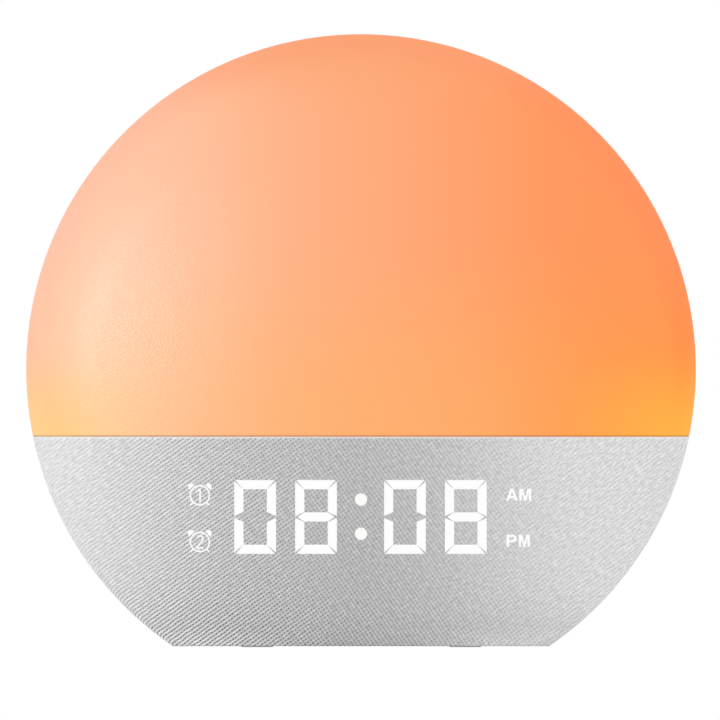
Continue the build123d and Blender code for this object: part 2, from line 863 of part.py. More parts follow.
with BuildPart() as base_plate:
    with BuildSketch(plate_face):
        add(base_opening(-slide_gap))
    extrude(amount=base_thickness)
    with BuildSketch(level(base_plate_top)):
        with Locations((0, cap_y)):
            Circle(chamber_radius + well_wall)
    extrude(amount=chamber_top_z + well_wall - base_plate_top)
    with BuildSketch(level(base_plate_top)):
        with Locations((0, cap_y)):
            Circle(well_radius + well_wall)
    extrude(amount=well_top_z + well_wall - base_plate_top)
    with BuildSketch(plate_face):
        with Locations((0, cap_y)):
            Circle(cap_radius + cap_play)
            for turn in (cap_turn, cap_turn + 180):
                add(sector(lug_outer + cap_play, -turn - half_lug - 2, lug_angle + 4))
    extrude(amount=base_thickness, mode=Mode.SUBTRACT)
    with BuildSketch(level(base_plate_top)):
        with Locations((0, cap_y)):
            Circle(chamber_radius)
    extrude(amount=chamber_top_z - base_plate_top, mode=Mode.SUBTRACT)
    with BuildSketch(level(chamber_top_z)):
        with Locations((0, cap_y)):
            Circle(well_radius)
    extrude(amount=well_top_z - chamber_top_z, mode=Mode.SUBTRACT)
    with BuildSketch(plate_face):
        with Locations(*foot_places):
            Circle(foot_radius + glue_gap)
    extrude(amount=foot_pocket + glue_gap, mode=Mode.SUBTRACT)
    with BuildSketch(plate_face):
        with Locations(*front_base_posts, *rear_base_posts):
            Circle(screw_head_radius + screw_play)
    extrude(amount=base_screw_head + screw_play, mode=Mode.SUBTRACT)
    with BuildSketch(plate_face):
        with Locations(*front_base_posts, *rear_base_posts):
            Circle(screw_shank_radius + screw_play)
    extrude(amount=base_thickness, mode=Mode.SUBTRACT)
save(base_plate.part, "base_plate")

with BuildPart() as rubber_feet:
    with BuildSketch(level(0)):
        with Locations(*foot_places):
            Circle(foot_radius)
    extrude(amount=foot_height)
    chamfer(rubber_feet.faces().group_by(Axis.Z)[0].edges(), foot_edge)
save(rubber_feet.part, "rubber_feet")

with BuildPart() as base_screws:
    with BuildSketch(level(cut_z + screw_play)):
        with Locations(*front_base_posts, *rear_base_posts):
            Circle(screw_head_radius)
    extrude(amount=base_screw_head)
    with BuildSketch(level(cut_z + screw_play)):
        with Locations(*front_base_posts, *rear_base_posts):
            Circle(screw_shank_radius)
    extrude(amount=base_thickness + screw_reach)
    add(
        drive_recesses(level(cut_z + screw_play), front_base_posts + rear_base_posts),
        mode=Mode.SUBTRACT,
    )
save(base_screws.part, "base_screws")

with BuildPart() as battery_cap:
    with BuildSketch(level(cap_z)):
        with Locations((0, cap_y)):
            Circle(cap_radius)
    extrude(amount=cap_thickness)
    with BuildSketch(level(cap_top_z)):
        with Locations((0, cap_y)):
            Circle(cap_radius - cap_play)
    extrude(amount=lug_z + lug_height - cap_top_z)
    with BuildSketch(level(lug_z)):
        with Locations((0, cap_y)):
            for side in (0, 180):
                add(sector(lug_outer, side - half_lug, lug_angle))
    extrude(amount=lug_height)
    with BuildSketch(level(cap_z)):
        with Locations((0, cap_y)):
            Rectangle(coin_slot[0], coin_slot[1])
    extrude(amount=coin_slot[2], mode=Mode.SUBTRACT)
save(battery_cap.part, "battery_cap")

with BuildPart() as coin_cell:
    with BuildSketch(level(cell_z)):
        with Locations((0, cap_y)):
            Circle(cell_radius)
    extrude(amount=cell_height)
    chamfer(coin_cell.edges().filter_by(GeomType.CIRCLE), cell_edge)
save(coin_cell.part, "coin_cell")

with BuildPart() as battery_contacts:
    with BuildSketch(level(cell_top_z + glue_gap)):
        with Locations((0, cap_y)):
            Rectangle(2 * cell_radius - 2, contact_width)
    extrude(amount=contact_thickness)
    with BuildSketch(level(cell_z)):
        with Locations((0, cap_y + cell_radius + 2 * glue_gap)):
            Rectangle(contact_width, contact_thickness, align=(Align.CENTER, Align.MIN))
    extrude(amount=cell_height)
save(battery_contacts.part, "battery_contacts")

# ---------------------------------------------------------------- light engine
shelf_top_z = shelf_z + shelf_thickness
plate_back_y = led_board_y - glue_gap
plate_front_y = plate_back_y - reflector_wall
reflector_rim = hook_inner - slide_gap
led_rings = ((led_outer_ring, led_outer_count), (led_inner_ring, led_inner_count))


def led_places():
    """Chip places on two rings about the clock's axis, spread evenly from one low end to the other."""
    places = []
    for ring, count in led_rings:
        start = degrees(asin((shelf_top_z + led_lowest - centre_z) / ring))
        for chip in range(count):
            angle = radians(start + chip * (180 - 2 * start) / (count - 1))
            places.append((ring * cos(angle), centre_z + ring * sin(angle)))
    return places


with BuildPart() as reflector:
    with BuildSketch(profile_plane):
        with BuildLine():
            Polyline(
                (0, plate_back_y),
                (0, plate_front_y),
                (reflector_plate_radius, plate_front_y),
                (reflector_rim, reflector_rim_y),
                (reflector_rim, reflector_rim_y + reflector_wall),
                (reflector_plate_radius, plate_back_y),
                close=True,
            )
        make_face()
    revolve(axis=clock_axis)
    split(bisect_by=level(shelf_top_z + glue_gap), keep=above)
    with BuildSketch(facing_front(plate_back_y)):
        with Locations(*led_places()):
            Circle(led_window)
        with Locations(*led_post_places):
            Circle(screw_shank_radius + screw_play)
    extrude(amount=reflector_wall, mode=Mode.SUBTRACT)
save(reflector.part, "reflector")

with BuildPart() as led_board:
    with BuildSketch(facing_front(led_board_back)):
        with Locations((0, centre_z)):
            Circle(led_board_radius)
        with Locations((0, shelf_top_z + slide_gap)):
            Rectangle(
                3 * led_board_radius, 2 * led_board_radius, align=(Align.CENTER, Align.MAX),
                mode=Mode.SUBTRACT,
            )
        with Locations(*led_post_places):
            Circle(screw_shank_radius + screw_play, mode=Mode.SUBTRACT)
    extrude(amount=board_thickness)
save(led_board.part, "led_board")

with BuildPart() as led_chips:
    with BuildSketch(facing_front(led_board_y)):
        with Locations(*led_places()):
            Rectangle(led_chip[0], led_chip[2])
    extrude(amount=led_chip[1])
save(led_chips.part, "led_chips")

with BuildPart() as led_screws:
    with BuildSketch(facing_front(plate_front_y - glue_gap)):
        with Locations(*led_post_places):
            Circle(screw_head_radius)
    extrude(amount=screw_head_height)
    with BuildSketch(facing_front(led_board_back + screw_reach)):
        with Locations(*led_post_places):
            Circle(screw_shank_radius)
    extrude(amount=led_board_back + screw_reach - plate_front_y + glue_gap)
    add(
        drive_recesses(
            facing_front(plate_front_y - glue_gap - screw_head_height + drive_depth), led_post_places
        ),
        mode=Mode.SUBTRACT,
    )
save(led_screws.part, "led_screws")

# ---------------------------------------------------------------- controls on the back
key_face_y = recess_floor_y + key_proud
flange_back_y = pad_inner_y - glue_gap
flange_front_y = flange_back_y - key_flange_thickness
switch_top_y = control_board_y + switch_size[1]
plunger_length = flange_front_y - switch_top_y + switch_bore - key_travel - screw_play
key_names = (
    "light", "sound", "volume_down", "volume_up", "alarm_1", "alarm_2", "time", "dimmer",
)

with BuildPart() as control_board:
    with BuildSketch(facing_front(control_board_y)):
        with Locations((0, control_z)):
            RectangleRounded(*control_board_size, 2)
        with Locations(*control_posts):
            Circle(screw_shank_radius + screw_play, mode=Mode.SUBTRACT)
    extrude(amount=board_thickness)
save(control_board.part, "control_board")

# Each component: its place on the board, then width, height and depth.
components = (
    (-20.0, 2.0, 10.0, 10.0, 1.4),
    (0.0, -8.0, 6.0, 8.0, 1.2),
    (14.0, 8.0, 8.0, 5.0, 2.0),
    (-4.0, 12.0, 12.0, 4.0, 4.0),
)
with BuildPart() as board_components:
    for x, z, width, height, depth in components:
        with BuildSketch(facing_front(control_board_y - board_thickness)):
            with Locations((x, control_z + z)):
                Rectangle(width, height)
        extrude(amount=depth)
save(board_components.part, "board_components")

with BuildPart() as control_screws:
    with BuildSketch(facing_front(control_board_y - board_thickness - glue_gap)):
        with Locations(*control_posts):
            Circle(screw_head_radius)
    extrude(amount=screw_head_height)
    with BuildSketch(facing_front(control_board_y + screw_reach)):
        with Locations(*control_posts):
            Circle(screw_shank_radius)
    extrude(amount=screw_reach + board_thickness + glue_gap)
    add(
        drive_recesses(
            facing_front(
                control_board_y - board_thickness - glue_gap - screw_head_height + drive_depth
            ),
            control_posts,
        ),
        mode=Mode.SUBTRACT,
    )
save(control_screws.part, "control_screws")

with BuildPart() as switch_bodies:
    with BuildSketch(facing_back(control_board_y)):
        with Locations(*mirrored(key_places)):
            Rectangle(switch_size[0], switch_size[2])
    extrude(amount=switch_size[1])
    with BuildSketch(facing_back(switch_top_y - switch_bore)):
        with Locations(*mirrored(key_places)):
            Circle(plunger_radius + plunger_fit)
    extrude(amount=switch_bore, mode=Mode.SUBTRACT)
save(switch_bodies.part, "switch_bodies")

for name, (key_x, key_z) in zip(key_names, key_places):
    with BuildPart() as key_cap:
        with BuildSketch(facing_back(flange_front_y)):
            with Locations((-key_x, key_z)):
                Rectangle(key_size[0] + 2 * key_flange, key_size[1] + 2 * key_flange)
        extrude(amount=key_flange_thickness)
        with BuildSketch(facing_back(flange_back_y)):
            with Locations((-key_x, key_z)):
                RectangleRounded(*key_size, key_corner)
        extrude(amount=key_face_y - flange_back_y)
        chamfer(key_cap.faces().sort_by(Axis.Y)[-1].edges(), key_edge)
    save(key_cap.part, f"button_{name}")

    with BuildPart() as plunger:
        with BuildSketch(facing_front(flange_front_y)):
            with Locations((key_x, key_z)):
                Circle(plunger_radius)
        extrude(amount=plunger_length)
    save(plunger.part, f"plunger_{name}")

# ---------------------------------------------------------------- speaker behind its grille
speaker_axis = Axis((0, 0, speaker_z), (0, 1, 0))
speaker_plane = level(speaker_z)
basket_back_y = flange_y - basket_depth
magnet_front_y = basket_back_y - yoke_thickness
magnet_back_y = magnet_front_y - magnet_depth
coil_outer = coil_radius + coil_wall
cone_edge_y = flange_y
cone_neck = coil_outer + glue_gap
roll_middle = cone_edge + roll_radius


def turned_about_speaker(*points):
    """A closed outline of radius and depth, turned about the speaker's axis."""
    with BuildPart(mode=Mode.PRIVATE) as turned:
        with BuildSketch(speaker_plane):
            with BuildLine():
                Polyline(*points, close=True)
            make_face()
        revolve(axis=speaker_axis)
    return turned.part


with BuildPart() as speaker_basket:
    with BuildSketch(facing_front(flange_y)):
        with Locations((0, speaker_z)):
            Circle(speaker_radius)
        with Locations(*ear_places):
            Circle(ear_radius)
        with Locations((0, speaker_z)):
            Rectangle(2 * ear_ring, 2 * ear_radius, rotation=45)
            Rectangle(2 * ear_ring, 2 * ear_radius, rotation=135)
            Circle(basket_throat, mode=Mode.SUBTRACT)
        with Locations(*ear_places):
            Circle(screw_shank_radius + screw_play, mode=Mode.SUBTRACT)
    extrude(amount=basket_wall)
    add(
        turned_about_speaker(
            (basket_throat, flange_y - basket_wall),
            (basket_throat + basket_wall, flange_y - basket_wall),
            (basket_floor_radius + basket_wall, basket_back_y),
            (magnet_bore, basket_back_y),
            (magnet_bore, basket_back_y + basket_wall),
            (basket_floor_radius, basket_back_y + basket_wall),
        )
    )
    with BuildSketch(speaker_plane):
        with Locations((0, flange_y - basket_depth / 2)):
            Rectangle(basket_window[0], basket_window[1])
    extrude(amount=speaker_radius, both=True, mode=Mode.SUBTRACT)
    with BuildSketch(Plane.YZ):
        with Locations((flange_y - basket_depth / 2, speaker_z)):
            Rectangle(basket_window[1], basket_window[0])
    extrude(amount=speaker_radius, both=True, mode=Mode.SUBTRACT)
save(speaker_basket.part, "speaker_basket")

speaker_magnet = turned_about_speaker(
    (magnet_bore, magnet_front_y),
    (magnet_radius, magnet_front_y),
    (magnet_radius, magnet_back_y),
    (magnet_bore, magnet_back_y),
)
save(speaker_magnet, "speaker_magnet")

with BuildPart() as speaker_yoke:
    add(
        turned_about_speaker(
            (coil_outer + coil_gap, basket_back_y),
            (yoke_radius, basket_back_y),
            (yoke_radius, magnet_front_y),
            (coil_outer + coil_gap, magnet_front_y),
        )
    )
    add(
        turned_about_speaker(
            (0, basket_back_y),
            (pole_radius, basket_back_y),
            (pole_radius, magnet_back_y),
            (yoke_radius, magnet_back_y),
            (yoke_radius, magnet_back_y - yoke_thickness),
            (0, magnet_back_y - yoke_thickness),
        )
    )
save(speaker_yoke.part, "speaker_yoke")

voice_coil = turned_about_speaker(
    (coil_radius, cone_edge_y - cone_depth + cone_wall),
    (coil_outer, cone_edge_y - cone_depth + cone_wall),
    (coil_outer, cone_edge_y - cone_depth - coil_length),
    (coil_radius, cone_edge_y - cone_depth - coil_length),
)
save(voice_coil, "voice_coil")

speaker_cone = turned_about_speaker(
    (cone_neck, cone_edge_y - cone_depth),
    (cone_edge - rim_width, cone_edge_y - cone_wall),
    (cone_edge, cone_edge_y - cone_wall),
    (cone_edge, cone_edge_y),
    (cone_edge - rim_width, cone_edge_y),
    (cone_neck, cone_edge_y - cone_depth + cone_wall),
)
save(speaker_cone, "speaker_cone")

cap_seat_y = cone_edge_y - cone_depth + cone_wall + (dust_cap_radius - cone_neck) * cone_depth / (
    cone_edge - rim_width - cone_neck
)
dust_cap = turned_about_speaker(
    (0, cap_seat_y + dust_cap_rise),
    (dust_cap_radius / 2, cap_seat_y + dust_cap_rise * 3 / 4),
    (dust_cap_radius, cap_seat_y),
    (dust_cap_radius - cone_wall, cap_seat_y),
    (dust_cap_radius / 2, cap_seat_y + dust_cap_rise * 3 / 4 - cone_wall),
    (0, cap_seat_y + dust_cap_rise - cone_wall),
)
save(dust_cap, "dust_cap")

with BuildPart() as speaker_surround:
    with BuildSketch(speaker_plane):
        with BuildLine():
            Polyline(
                (cone_edge - rim_width, cone_edge_y),
                (cone_edge - rim_width, cone_edge_y + roll_wall),
                (cone_edge, cone_edge_y + roll_wall),
                (roll_middle - roll_radius / 2, cone_edge_y + roll_radius),
                (roll_middle + roll_radius / 2, cone_edge_y + roll_radius),
                (roll_middle + roll_radius, cone_edge_y + roll_wall),
                (speaker_hole_radius - glue_gap, cone_edge_y + roll_wall),
                (speaker_hole_radius - glue_gap, cone_edge_y),
                (roll_middle + roll_radius - roll_wall, cone_edge_y),
                (roll_middle + roll_radius / 2 - roll_wall / 2, cone_edge_y + roll_radius - roll_wall),
                (roll_middle - roll_radius / 2 + roll_wall / 2, cone_edge_y + roll_radius - roll_wall),
                (cone_edge + roll_wall, cone_edge_y),
                close=True,
            )
        make_face()
    revolve(axis=speaker_axis)
save(speaker_surround.part, "speaker_surround")

with BuildPart() as speaker_gasket:
    with BuildSketch(facing_back(gasket_front_y)):
        with Locations((0, speaker_z)):
            Circle(speaker_radius)
            Circle(speaker_hole_radius, mode=Mode.SUBTRACT)
    extrude(amount=gasket_thickness)
save(speaker_gasket.part, "speaker_gasket")

with BuildPart() as speaker_screws:
    with BuildSketch(facing_front(flange_y - basket_wall - glue_gap)):
        with Locations(*ear_places):
            Circle(screw_head_radius)
    extrude(amount=screw_head_height)
    with BuildSketch(facing_front(flange_y + ear_screw_reach)):
        with Locations(*ear_places):
            Circle(screw_shank_radius)
    extrude(amount=ear_screw_reach + basket_wall + glue_gap)
    add(
        drive_recesses(
            facing_front(flange_y - basket_wall - glue_gap - screw_head_height + drive_depth),
            ear_places,
        ),
        mode=Mode.SUBTRACT,
    )
save(speaker_screws.part, "speaker_screws")

grille_rows = int(grille_open_radius / grille_pitch * 2 / sqrt(3))
grille_places = [
    ((column + row % 2 / 2) * grille_pitch, row * grille_pitch * sqrt(3) / 2)
    for row in range(-grille_rows, grille_rows + 1)
    for column in range(-grille_rows - 1, grille_rows + 1)
]
open_places = [place for place in grille_places if hypot(*place) <= grille_open_radius]
with BuildPart() as speaker_grille:
    with BuildSketch(facing_back(back_y - grille_thickness)):
        with Locations((0, speaker_z)):
            Circle(grille_radius)
            with Locations(*open_places):
                RegularPolygon(grille_hole, 6, rotation=30, mode=Mode.SUBTRACT)
    extrude(amount=grille_thickness)
save(speaker_grille.part, "speaker_grille")

# ---------------------------------------------------------------- power inlet
jack_face_y = jack_floor_y - jack_floor - glue_gap
with BuildPart() as dc_jack:
    with BuildSketch(facing_front(jack_face_y)):
        with Locations((jack_x, jack_z)):
            Rectangle(jack_body[0], jack_body[2])
    extrude(amount=jack_body[1])
    with BuildSketch(facing_back(jack_face_y)):
        with Locations((-jack_x, jack_z)):
            Circle(jack_nose_radius)
    extrude(amount=jack_floor_y - jack_face_y)
    with BuildSketch(facing_front(jack_floor_y)):
        with Locations((jack_x, jack_z)):
            Circle(jack_bore)
    extrude(amount=jack_depth, mode=Mode.SUBTRACT)
save(dc_jack.part, "dc_jack")

with BuildPart() as dc_pin:
    with BuildSketch(facing_back(jack_floor_y - jack_depth)):
        with Locations((-jack_x, jack_z)):
            Circle(jack_pin)
    extrude(amount=jack_depth - 2 * slide_gap)
    chamfer(dc_pin.faces().sort_by(Axis.Y)[-1].edges(), jack_pin_edge)
save(dc_pin.part, "dc_pin")

# ---------------------------------------------------------------- ribbon between the two boards
plug_z = control_z - plug_below_controls
control_plug_y = control_board_y - board_thickness
with BuildPart() as ribbon_plugs:
    with BuildSketch(facing_back(board_rear_y)):
        with Locations((-ribbon_x, ribbon_height)):
            Rectangle(ribbon_plug[0], ribbon_plug[2])
    extrude(amount=ribbon_plug[1])
    with BuildSketch(facing_front(control_plug_y)):
        with Locations((ribbon_x, plug_z)):
            Rectangle(ribbon_plug[0], ribbon_plug[2])
    extrude(amount=ribbon_plug[1])
save(ribbon_plugs.part, "ribbon_plugs")

with BuildPart() as display_ribbon:
    with BuildLine(Plane.YZ.offset(ribbon_x)):
        ribbon_path = FilletPolyline(
            (board_rear_y + ribbon_plug[1], ribbon_height),
            (ribbon_y, ribbon_height),
            (ribbon_y, plug_z),
            (control_plug_y - ribbon_plug[1], plug_z),
            radius=ribbon_bend / 2,
        )
    with BuildSketch(facing_back(board_rear_y + ribbon_plug[1])):
        with Locations((-ribbon_x, ribbon_height)):
            Rectangle(ribbon_width, ribbon_thickness)
    sweep(path=ribbon_path)
save(display_ribbon.part, "display_ribbon")
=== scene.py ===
import math

import bpy
import numpy as np
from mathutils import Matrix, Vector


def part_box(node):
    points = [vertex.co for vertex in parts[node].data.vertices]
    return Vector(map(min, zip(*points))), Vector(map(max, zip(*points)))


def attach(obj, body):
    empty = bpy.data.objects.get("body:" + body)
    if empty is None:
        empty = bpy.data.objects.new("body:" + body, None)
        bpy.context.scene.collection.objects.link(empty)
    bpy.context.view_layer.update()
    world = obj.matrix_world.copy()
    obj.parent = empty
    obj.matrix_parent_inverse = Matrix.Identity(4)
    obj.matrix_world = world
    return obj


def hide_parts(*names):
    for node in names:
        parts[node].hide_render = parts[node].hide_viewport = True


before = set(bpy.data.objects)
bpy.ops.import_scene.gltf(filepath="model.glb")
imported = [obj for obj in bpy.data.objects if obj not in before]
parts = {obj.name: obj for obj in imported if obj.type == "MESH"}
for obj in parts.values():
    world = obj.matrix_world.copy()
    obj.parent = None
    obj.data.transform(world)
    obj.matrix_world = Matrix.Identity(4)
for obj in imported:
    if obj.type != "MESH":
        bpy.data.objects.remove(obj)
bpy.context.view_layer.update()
mm = 0.001
print("frame loaded:", len(parts), "parts")


def linear(hexColour):
    # sRGB hex to the linear values that shaders take
    shares = [int(hexColour[i:i + 2], 16) / 255 for i in (1, 3, 5)]
    return [s / 12.92 if s <= 0.04045 else ((s + 0.055) / 1.055) ** 2.4 for s in shares] + [1.0]


def feed(tree, node, inputs):
    # each input of the node gets a plain value, or a link from the socket that gives it
    for socket, term in inputs.items():
        if isinstance(term, bpy.types.NodeSocket):
            tree.links.new(term, node.inputs[socket])
        else:
            node.inputs[socket].default_value = term


def addNode(tree, kind, inputs=None, **settings):
    # one shader node with what goes on its sockets; settings are the node's own
    node = tree.nodes.new("ShaderNode" + kind)
    for key, value in settings.items():
        setattr(node, key, value)
    feed(tree, node, inputs or {})
    return node


def calculate(tree, operation, first, second=0.0):
    # the result of a maths node on one or two terms
    return addNode(tree, "Math", {0: first, 1: second}, operation=operation).outputs[0]


def combine(tree, operation, first, second):
    # the same on vectors or colours, part by part
    return addNode(tree, "VectorMath", {0: first, 1: second}, operation=operation).outputs[0]


def scaled(tree, vector, factor):
    # a vector or a colour times a factor
    return addNode(tree, "VectorMath", {0: vector, 3: factor}, operation="SCALE").outputs[0]


def lengthOf(tree, vector):
    # how far a place is from the origin
    return addNode(tree, "VectorMath", {0: vector}, operation="LENGTH").outputs["Value"]


def remap(tree, source, fromEnds=(0.0, 1.0), toEnds=(0.0, 1.0), smooth=False):
    # a value carried from one range to another, evenly or on a soft curve, and held at the ends
    ends = dict(zip(("From Min", "From Max", "To Min", "To Max"), (*fromEnds, *toEnds)))
    curve = "SMOOTHSTEP" if smooth else "LINEAR"
    return addNode(tree, "MapRange", {"Value": source, **ends}, interpolation_type=curve).outputs[0]


def mixColours(tree, share, first, second):
    # the first colour where the share is 0, the second where it is 1
    return addNode(tree, "Mix", {0: share, 6: first, 7: second}, data_type="RGBA").outputs[2]


def colourRamp(tree, source, stops):
    # a soft ramp through stops, each a position from 0 to 1 and a colour
    ramp = addNode(tree, "ValToRGB", {0: source})
    ramp.color_ramp.interpolation = "CARDINAL"
    while len(ramp.color_ramp.elements) < len(stops):
        ramp.color_ramp.elements.new(0.5)
    for element, (position, colour) in zip(ramp.color_ramp.elements, stops):
        element.position = position
        element.color = colour
    return ramp.outputs


def noise(tree, place, scale, detail):
    # soft random values; the scale says how many swells there are to one unit of the place
    return addNode(tree, "TexNoise", {"Vector": place, "Scale": scale, "Detail": detail}).outputs


def bumpFrom(tree, height, depth, strength=1.0):
    # a surface that looks raised by the height's values times a depth in millimetres
    inputs = {"Strength": strength, "Distance": depth * mm, "Height": height}
    return addNode(tree, "Bump", inputs).outputs[0]


def startMaterial(name, values):
    # a principled material with its plain values set on the shader's own sockets
    material = bpy.data.materials.new(name)
    material.use_nodes = True
    shader = material.node_tree.nodes["Principled BSDF"]
    feed(material.node_tree, shader, values)
    return material, material.node_tree, shader


def placeOnPart(tree):
    # the place on the part in metres
    return addNode(tree, "TexCoord").outputs["Object"]


def placeInMillimetres(tree, stretch=(1, 1, 1)):
    # the same in millimetres, so that a scale of 1 / size gives a pattern of that size
    inputs = {"Vector": placeOnPart(tree), "Scale": [s / mm for s in stretch]}
    return addNode(tree, "Mapping", inputs).outputs["Vector"]


def shaded(colour, share):
    # a linear colour at a share of its brightness
    return [c * share for c in colour[:3]] + [1.0]


# how a finish drifts over a part: the size of a patch and the height of a metal's lines in
# millimetres, the change of roughness to each side, the share of its colour where metal is darkest
plasticDrift = {"size": 14, "roughness": (-0.05, 0.07)}
metalDrift = {"roughness": (-0.08, 0.1), "darkest": 0.86, "lineDepth": 0.01, "lineStrength": 0.6}


def moulded(name, colour, roughness, grain, depth, mottle=0.04, **more):
    # injection-moulded plastic: the tool's spark-eroded grain as fine bumps, with roughness and
    # shade that drift a little over the part; grain and depth are in millimetres
    material, tree, shader = startMaterial(name, {"Roughness": roughness, "IOR": 1.49, **more})
    place = placeInMillimetres(tree)
    fine = noise(tree, place, 1 / grain, 3.0)["Fac"]
    broad = noise(tree, place, 1 / plasticDrift["size"], 2.0)["Fac"]
    base = linear(colour)
    feed(tree, shader, {
        "Base Color": mixColours(tree, broad, shaded(base, 1 - mottle), base),
        "Roughness": remap(tree, fine, toEnds=[roughness + step for step in plasticDrift["roughness"]]),
        "Normal": bumpFrom(tree, fine, depth),
    })
    return material


def drawnMetal(name, colour, roughness, scratch, stretch, coat=0.0):
    # metal with the fine lines of its working: stretched noise moves roughness and lifts the
    # surface; scratch is the width of a line in millimetres
    values = {"Metallic": 1.0, "Roughness": roughness, "Coat Weight": coat}
    material, tree, shader = startMaterial(name, values)
    lines = noise(tree, placeInMillimetres(tree, stretch), 1 / scratch, 4.0)["Fac"]
    base = linear(colour)
    feed(tree, shader, {
        "Base Color": mixColours(tree, lines, shaded(base, metalDrift["darkest"]), base),
        "Roughness": remap(tree, lines, toEnds=[roughness + step for step in metalDrift["roughness"]]),
        "Normal": bumpFrom(tree, lines, metalDrift["lineDepth"], metalDrift["lineStrength"]),
    })
    return material


# the body is turned about a level axis: a wide crown arc in front, then a rim arc that ends
# square to the parting plane
bodyShape = {"radius": 90 * mm, "frontDepth": 46 * mm, "rimRadius": 34 * mm}
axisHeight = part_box("diffuser_dome")[1].z - bodyShape["radius"]
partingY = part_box("fabric_cover")[1].y
rimReach = bodyShape["radius"] - bodyShape["rimRadius"]
crownRadius = (rimReach**2 + bodyShape["frontDepth"] ** 2 - bodyShape["rimRadius"] ** 2) / (
    2 * (bodyShape["frontDepth"] - bodyShape["rimRadius"])
)
crownY = partingY - bodyShape["frontDepth"] + crownRadius


def frontSkin(x, z, inset=0.0):
    # depth of the front at a place: with reach the distance from the axis, crown centre less
    # root(radius squared - reach squared), and past the crown's end the same on the rim's circle;
    # the inset shortens both radii
    reach = np.hypot(x, z - axisHeight)
    crownSquare = (crownRadius - inset) ** 2 - reach**2
    rimSquare = (bodyShape["rimRadius"] - inset) ** 2 - (reach - rimReach) ** 2
    crown = crownY - np.sqrt(np.maximum(crownSquare, 0))
    rim = partingY - np.sqrt(np.maximum(rimSquare, 0))
    crownEnd = (crownRadius - inset) * rimReach / (crownRadius - bodyShape["rimRadius"])
    return np.where(reach < crownEnd, crown, rim)


def makePiece(name, vertices, faces, material, body, smooth=True):
    # one mesh object at the origin, on its body and in its material slot
    mesh = bpy.data.meshes.new(name)
    mesh.from_pydata(np.asarray(vertices).tolist(), [], faces)
    mesh.polygons.foreach_set("use_smooth", [smooth] * len(mesh.polygons))
    mesh.materials.append(material)
    piece = bpy.data.objects.new(name, mesh)
    bpy.context.scene.collection.objects.link(piece)
    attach(piece, body)
    return piece


def gridFaces(rows, columns):
    # quads of a grid whose rows run down and whose columns run to the right, seen from outside
    corner = (np.arange(rows - 1)[:, None] * columns + np.arange(columns - 1)).ravel()
    return np.column_stack((corner, corner + columns, corner + columns + 1, corner + 1)).tolist()


def alongPath(points):
    # distance covered along each row of points, starting from nothing
    steps = np.linalg.norm(np.diff(points, axis=1), axis=2)
    return np.concatenate((np.zeros((len(points), 1)), np.cumsum(steps, axis=1)), axis=1)


# woven polyester twill: matt grey, ribs just under a millimetre apart that climb to the right, with
# a small hole, painted dark as shade, wherever two floats cross; lengths in millimetres; each stop
# of the pull and painted shade gives a place across the cloth, how strongly ribs, floats and holes
# show there, and the share of its colour kept there: painted shade, darker in the middle, paler aside
twill = {
    "pitch": 0.941,
    "ribAngle": 35.0,
    "colour": "#dcdcdd",
    # a painted highlight along the cloth's top edge, where its roll catches the light: colour, width and
    # blend
    "paintedEdgeHighlight": "#e4eff8",
    "paintedHighlightWidth": 0.45,
    "paintedHighlightBlend": 0.08,
    "pull": [
        (-84, 0.06, 0.01, 0.05, 0.94), (-58, 0.23, 0.055, 0.165, 0.88), (-38, 0.27, 0.09, 0.205, 0.785),
        (-14, 0.15, 0.155, 0.16, 0.73), (6, 0.045, 0.17, 0.08, 0.73), (28, 0.045, 0.12, 0.06, 0.835),
        (52, 0.07, 0.05, 0.09, 0.975), (72, 0.08, 0.04, 0.09, 0.955), (84, 0.09, 0.04, 0.09, 0.89),
    ],
    "wander": 0.4,  # the width of the band in which a yarn strays about its line
    "wanderScale": 0.45,
    "slub": 0.24,  # how much one stitch differs from the next
    "slubShape": (0.1, 0.24, 0.0),  # long along the ribs, short across them
    "tension": (0.3, 1.7),  # how much of the weave shows, at least and at most, from spot to spot
    "tensionScale": 0.9,
    "lowFrom": (20.0, 2.0),  # heights between which the whole weave comes to show more
    "lowRibsFrom": (40.0, 2.0),
    "lowGain": (1.0, 1.4),
    "heights": (-0.85, 0.75),  # of the yarns, and the levels of grey that they show: painted shade, darker where they lie deep
    "levels": (0.15, 1.75),
    "relief": 0.03,
    # painted light near the base that lifts the shade there; lengths in millimetres
    "paintedLightReach": 5.0,  # above the base
    "paintedLightGain": 0.28,
    "paintedLightAside": (12.0, 38.0),  # to each side of the middle
    "paintedLightMiddle": 0.2,  # the share of the gain that is left in the middle
    "paintedFoldReach": 0.85,
    "paintedFoldGain": 1.45,
}


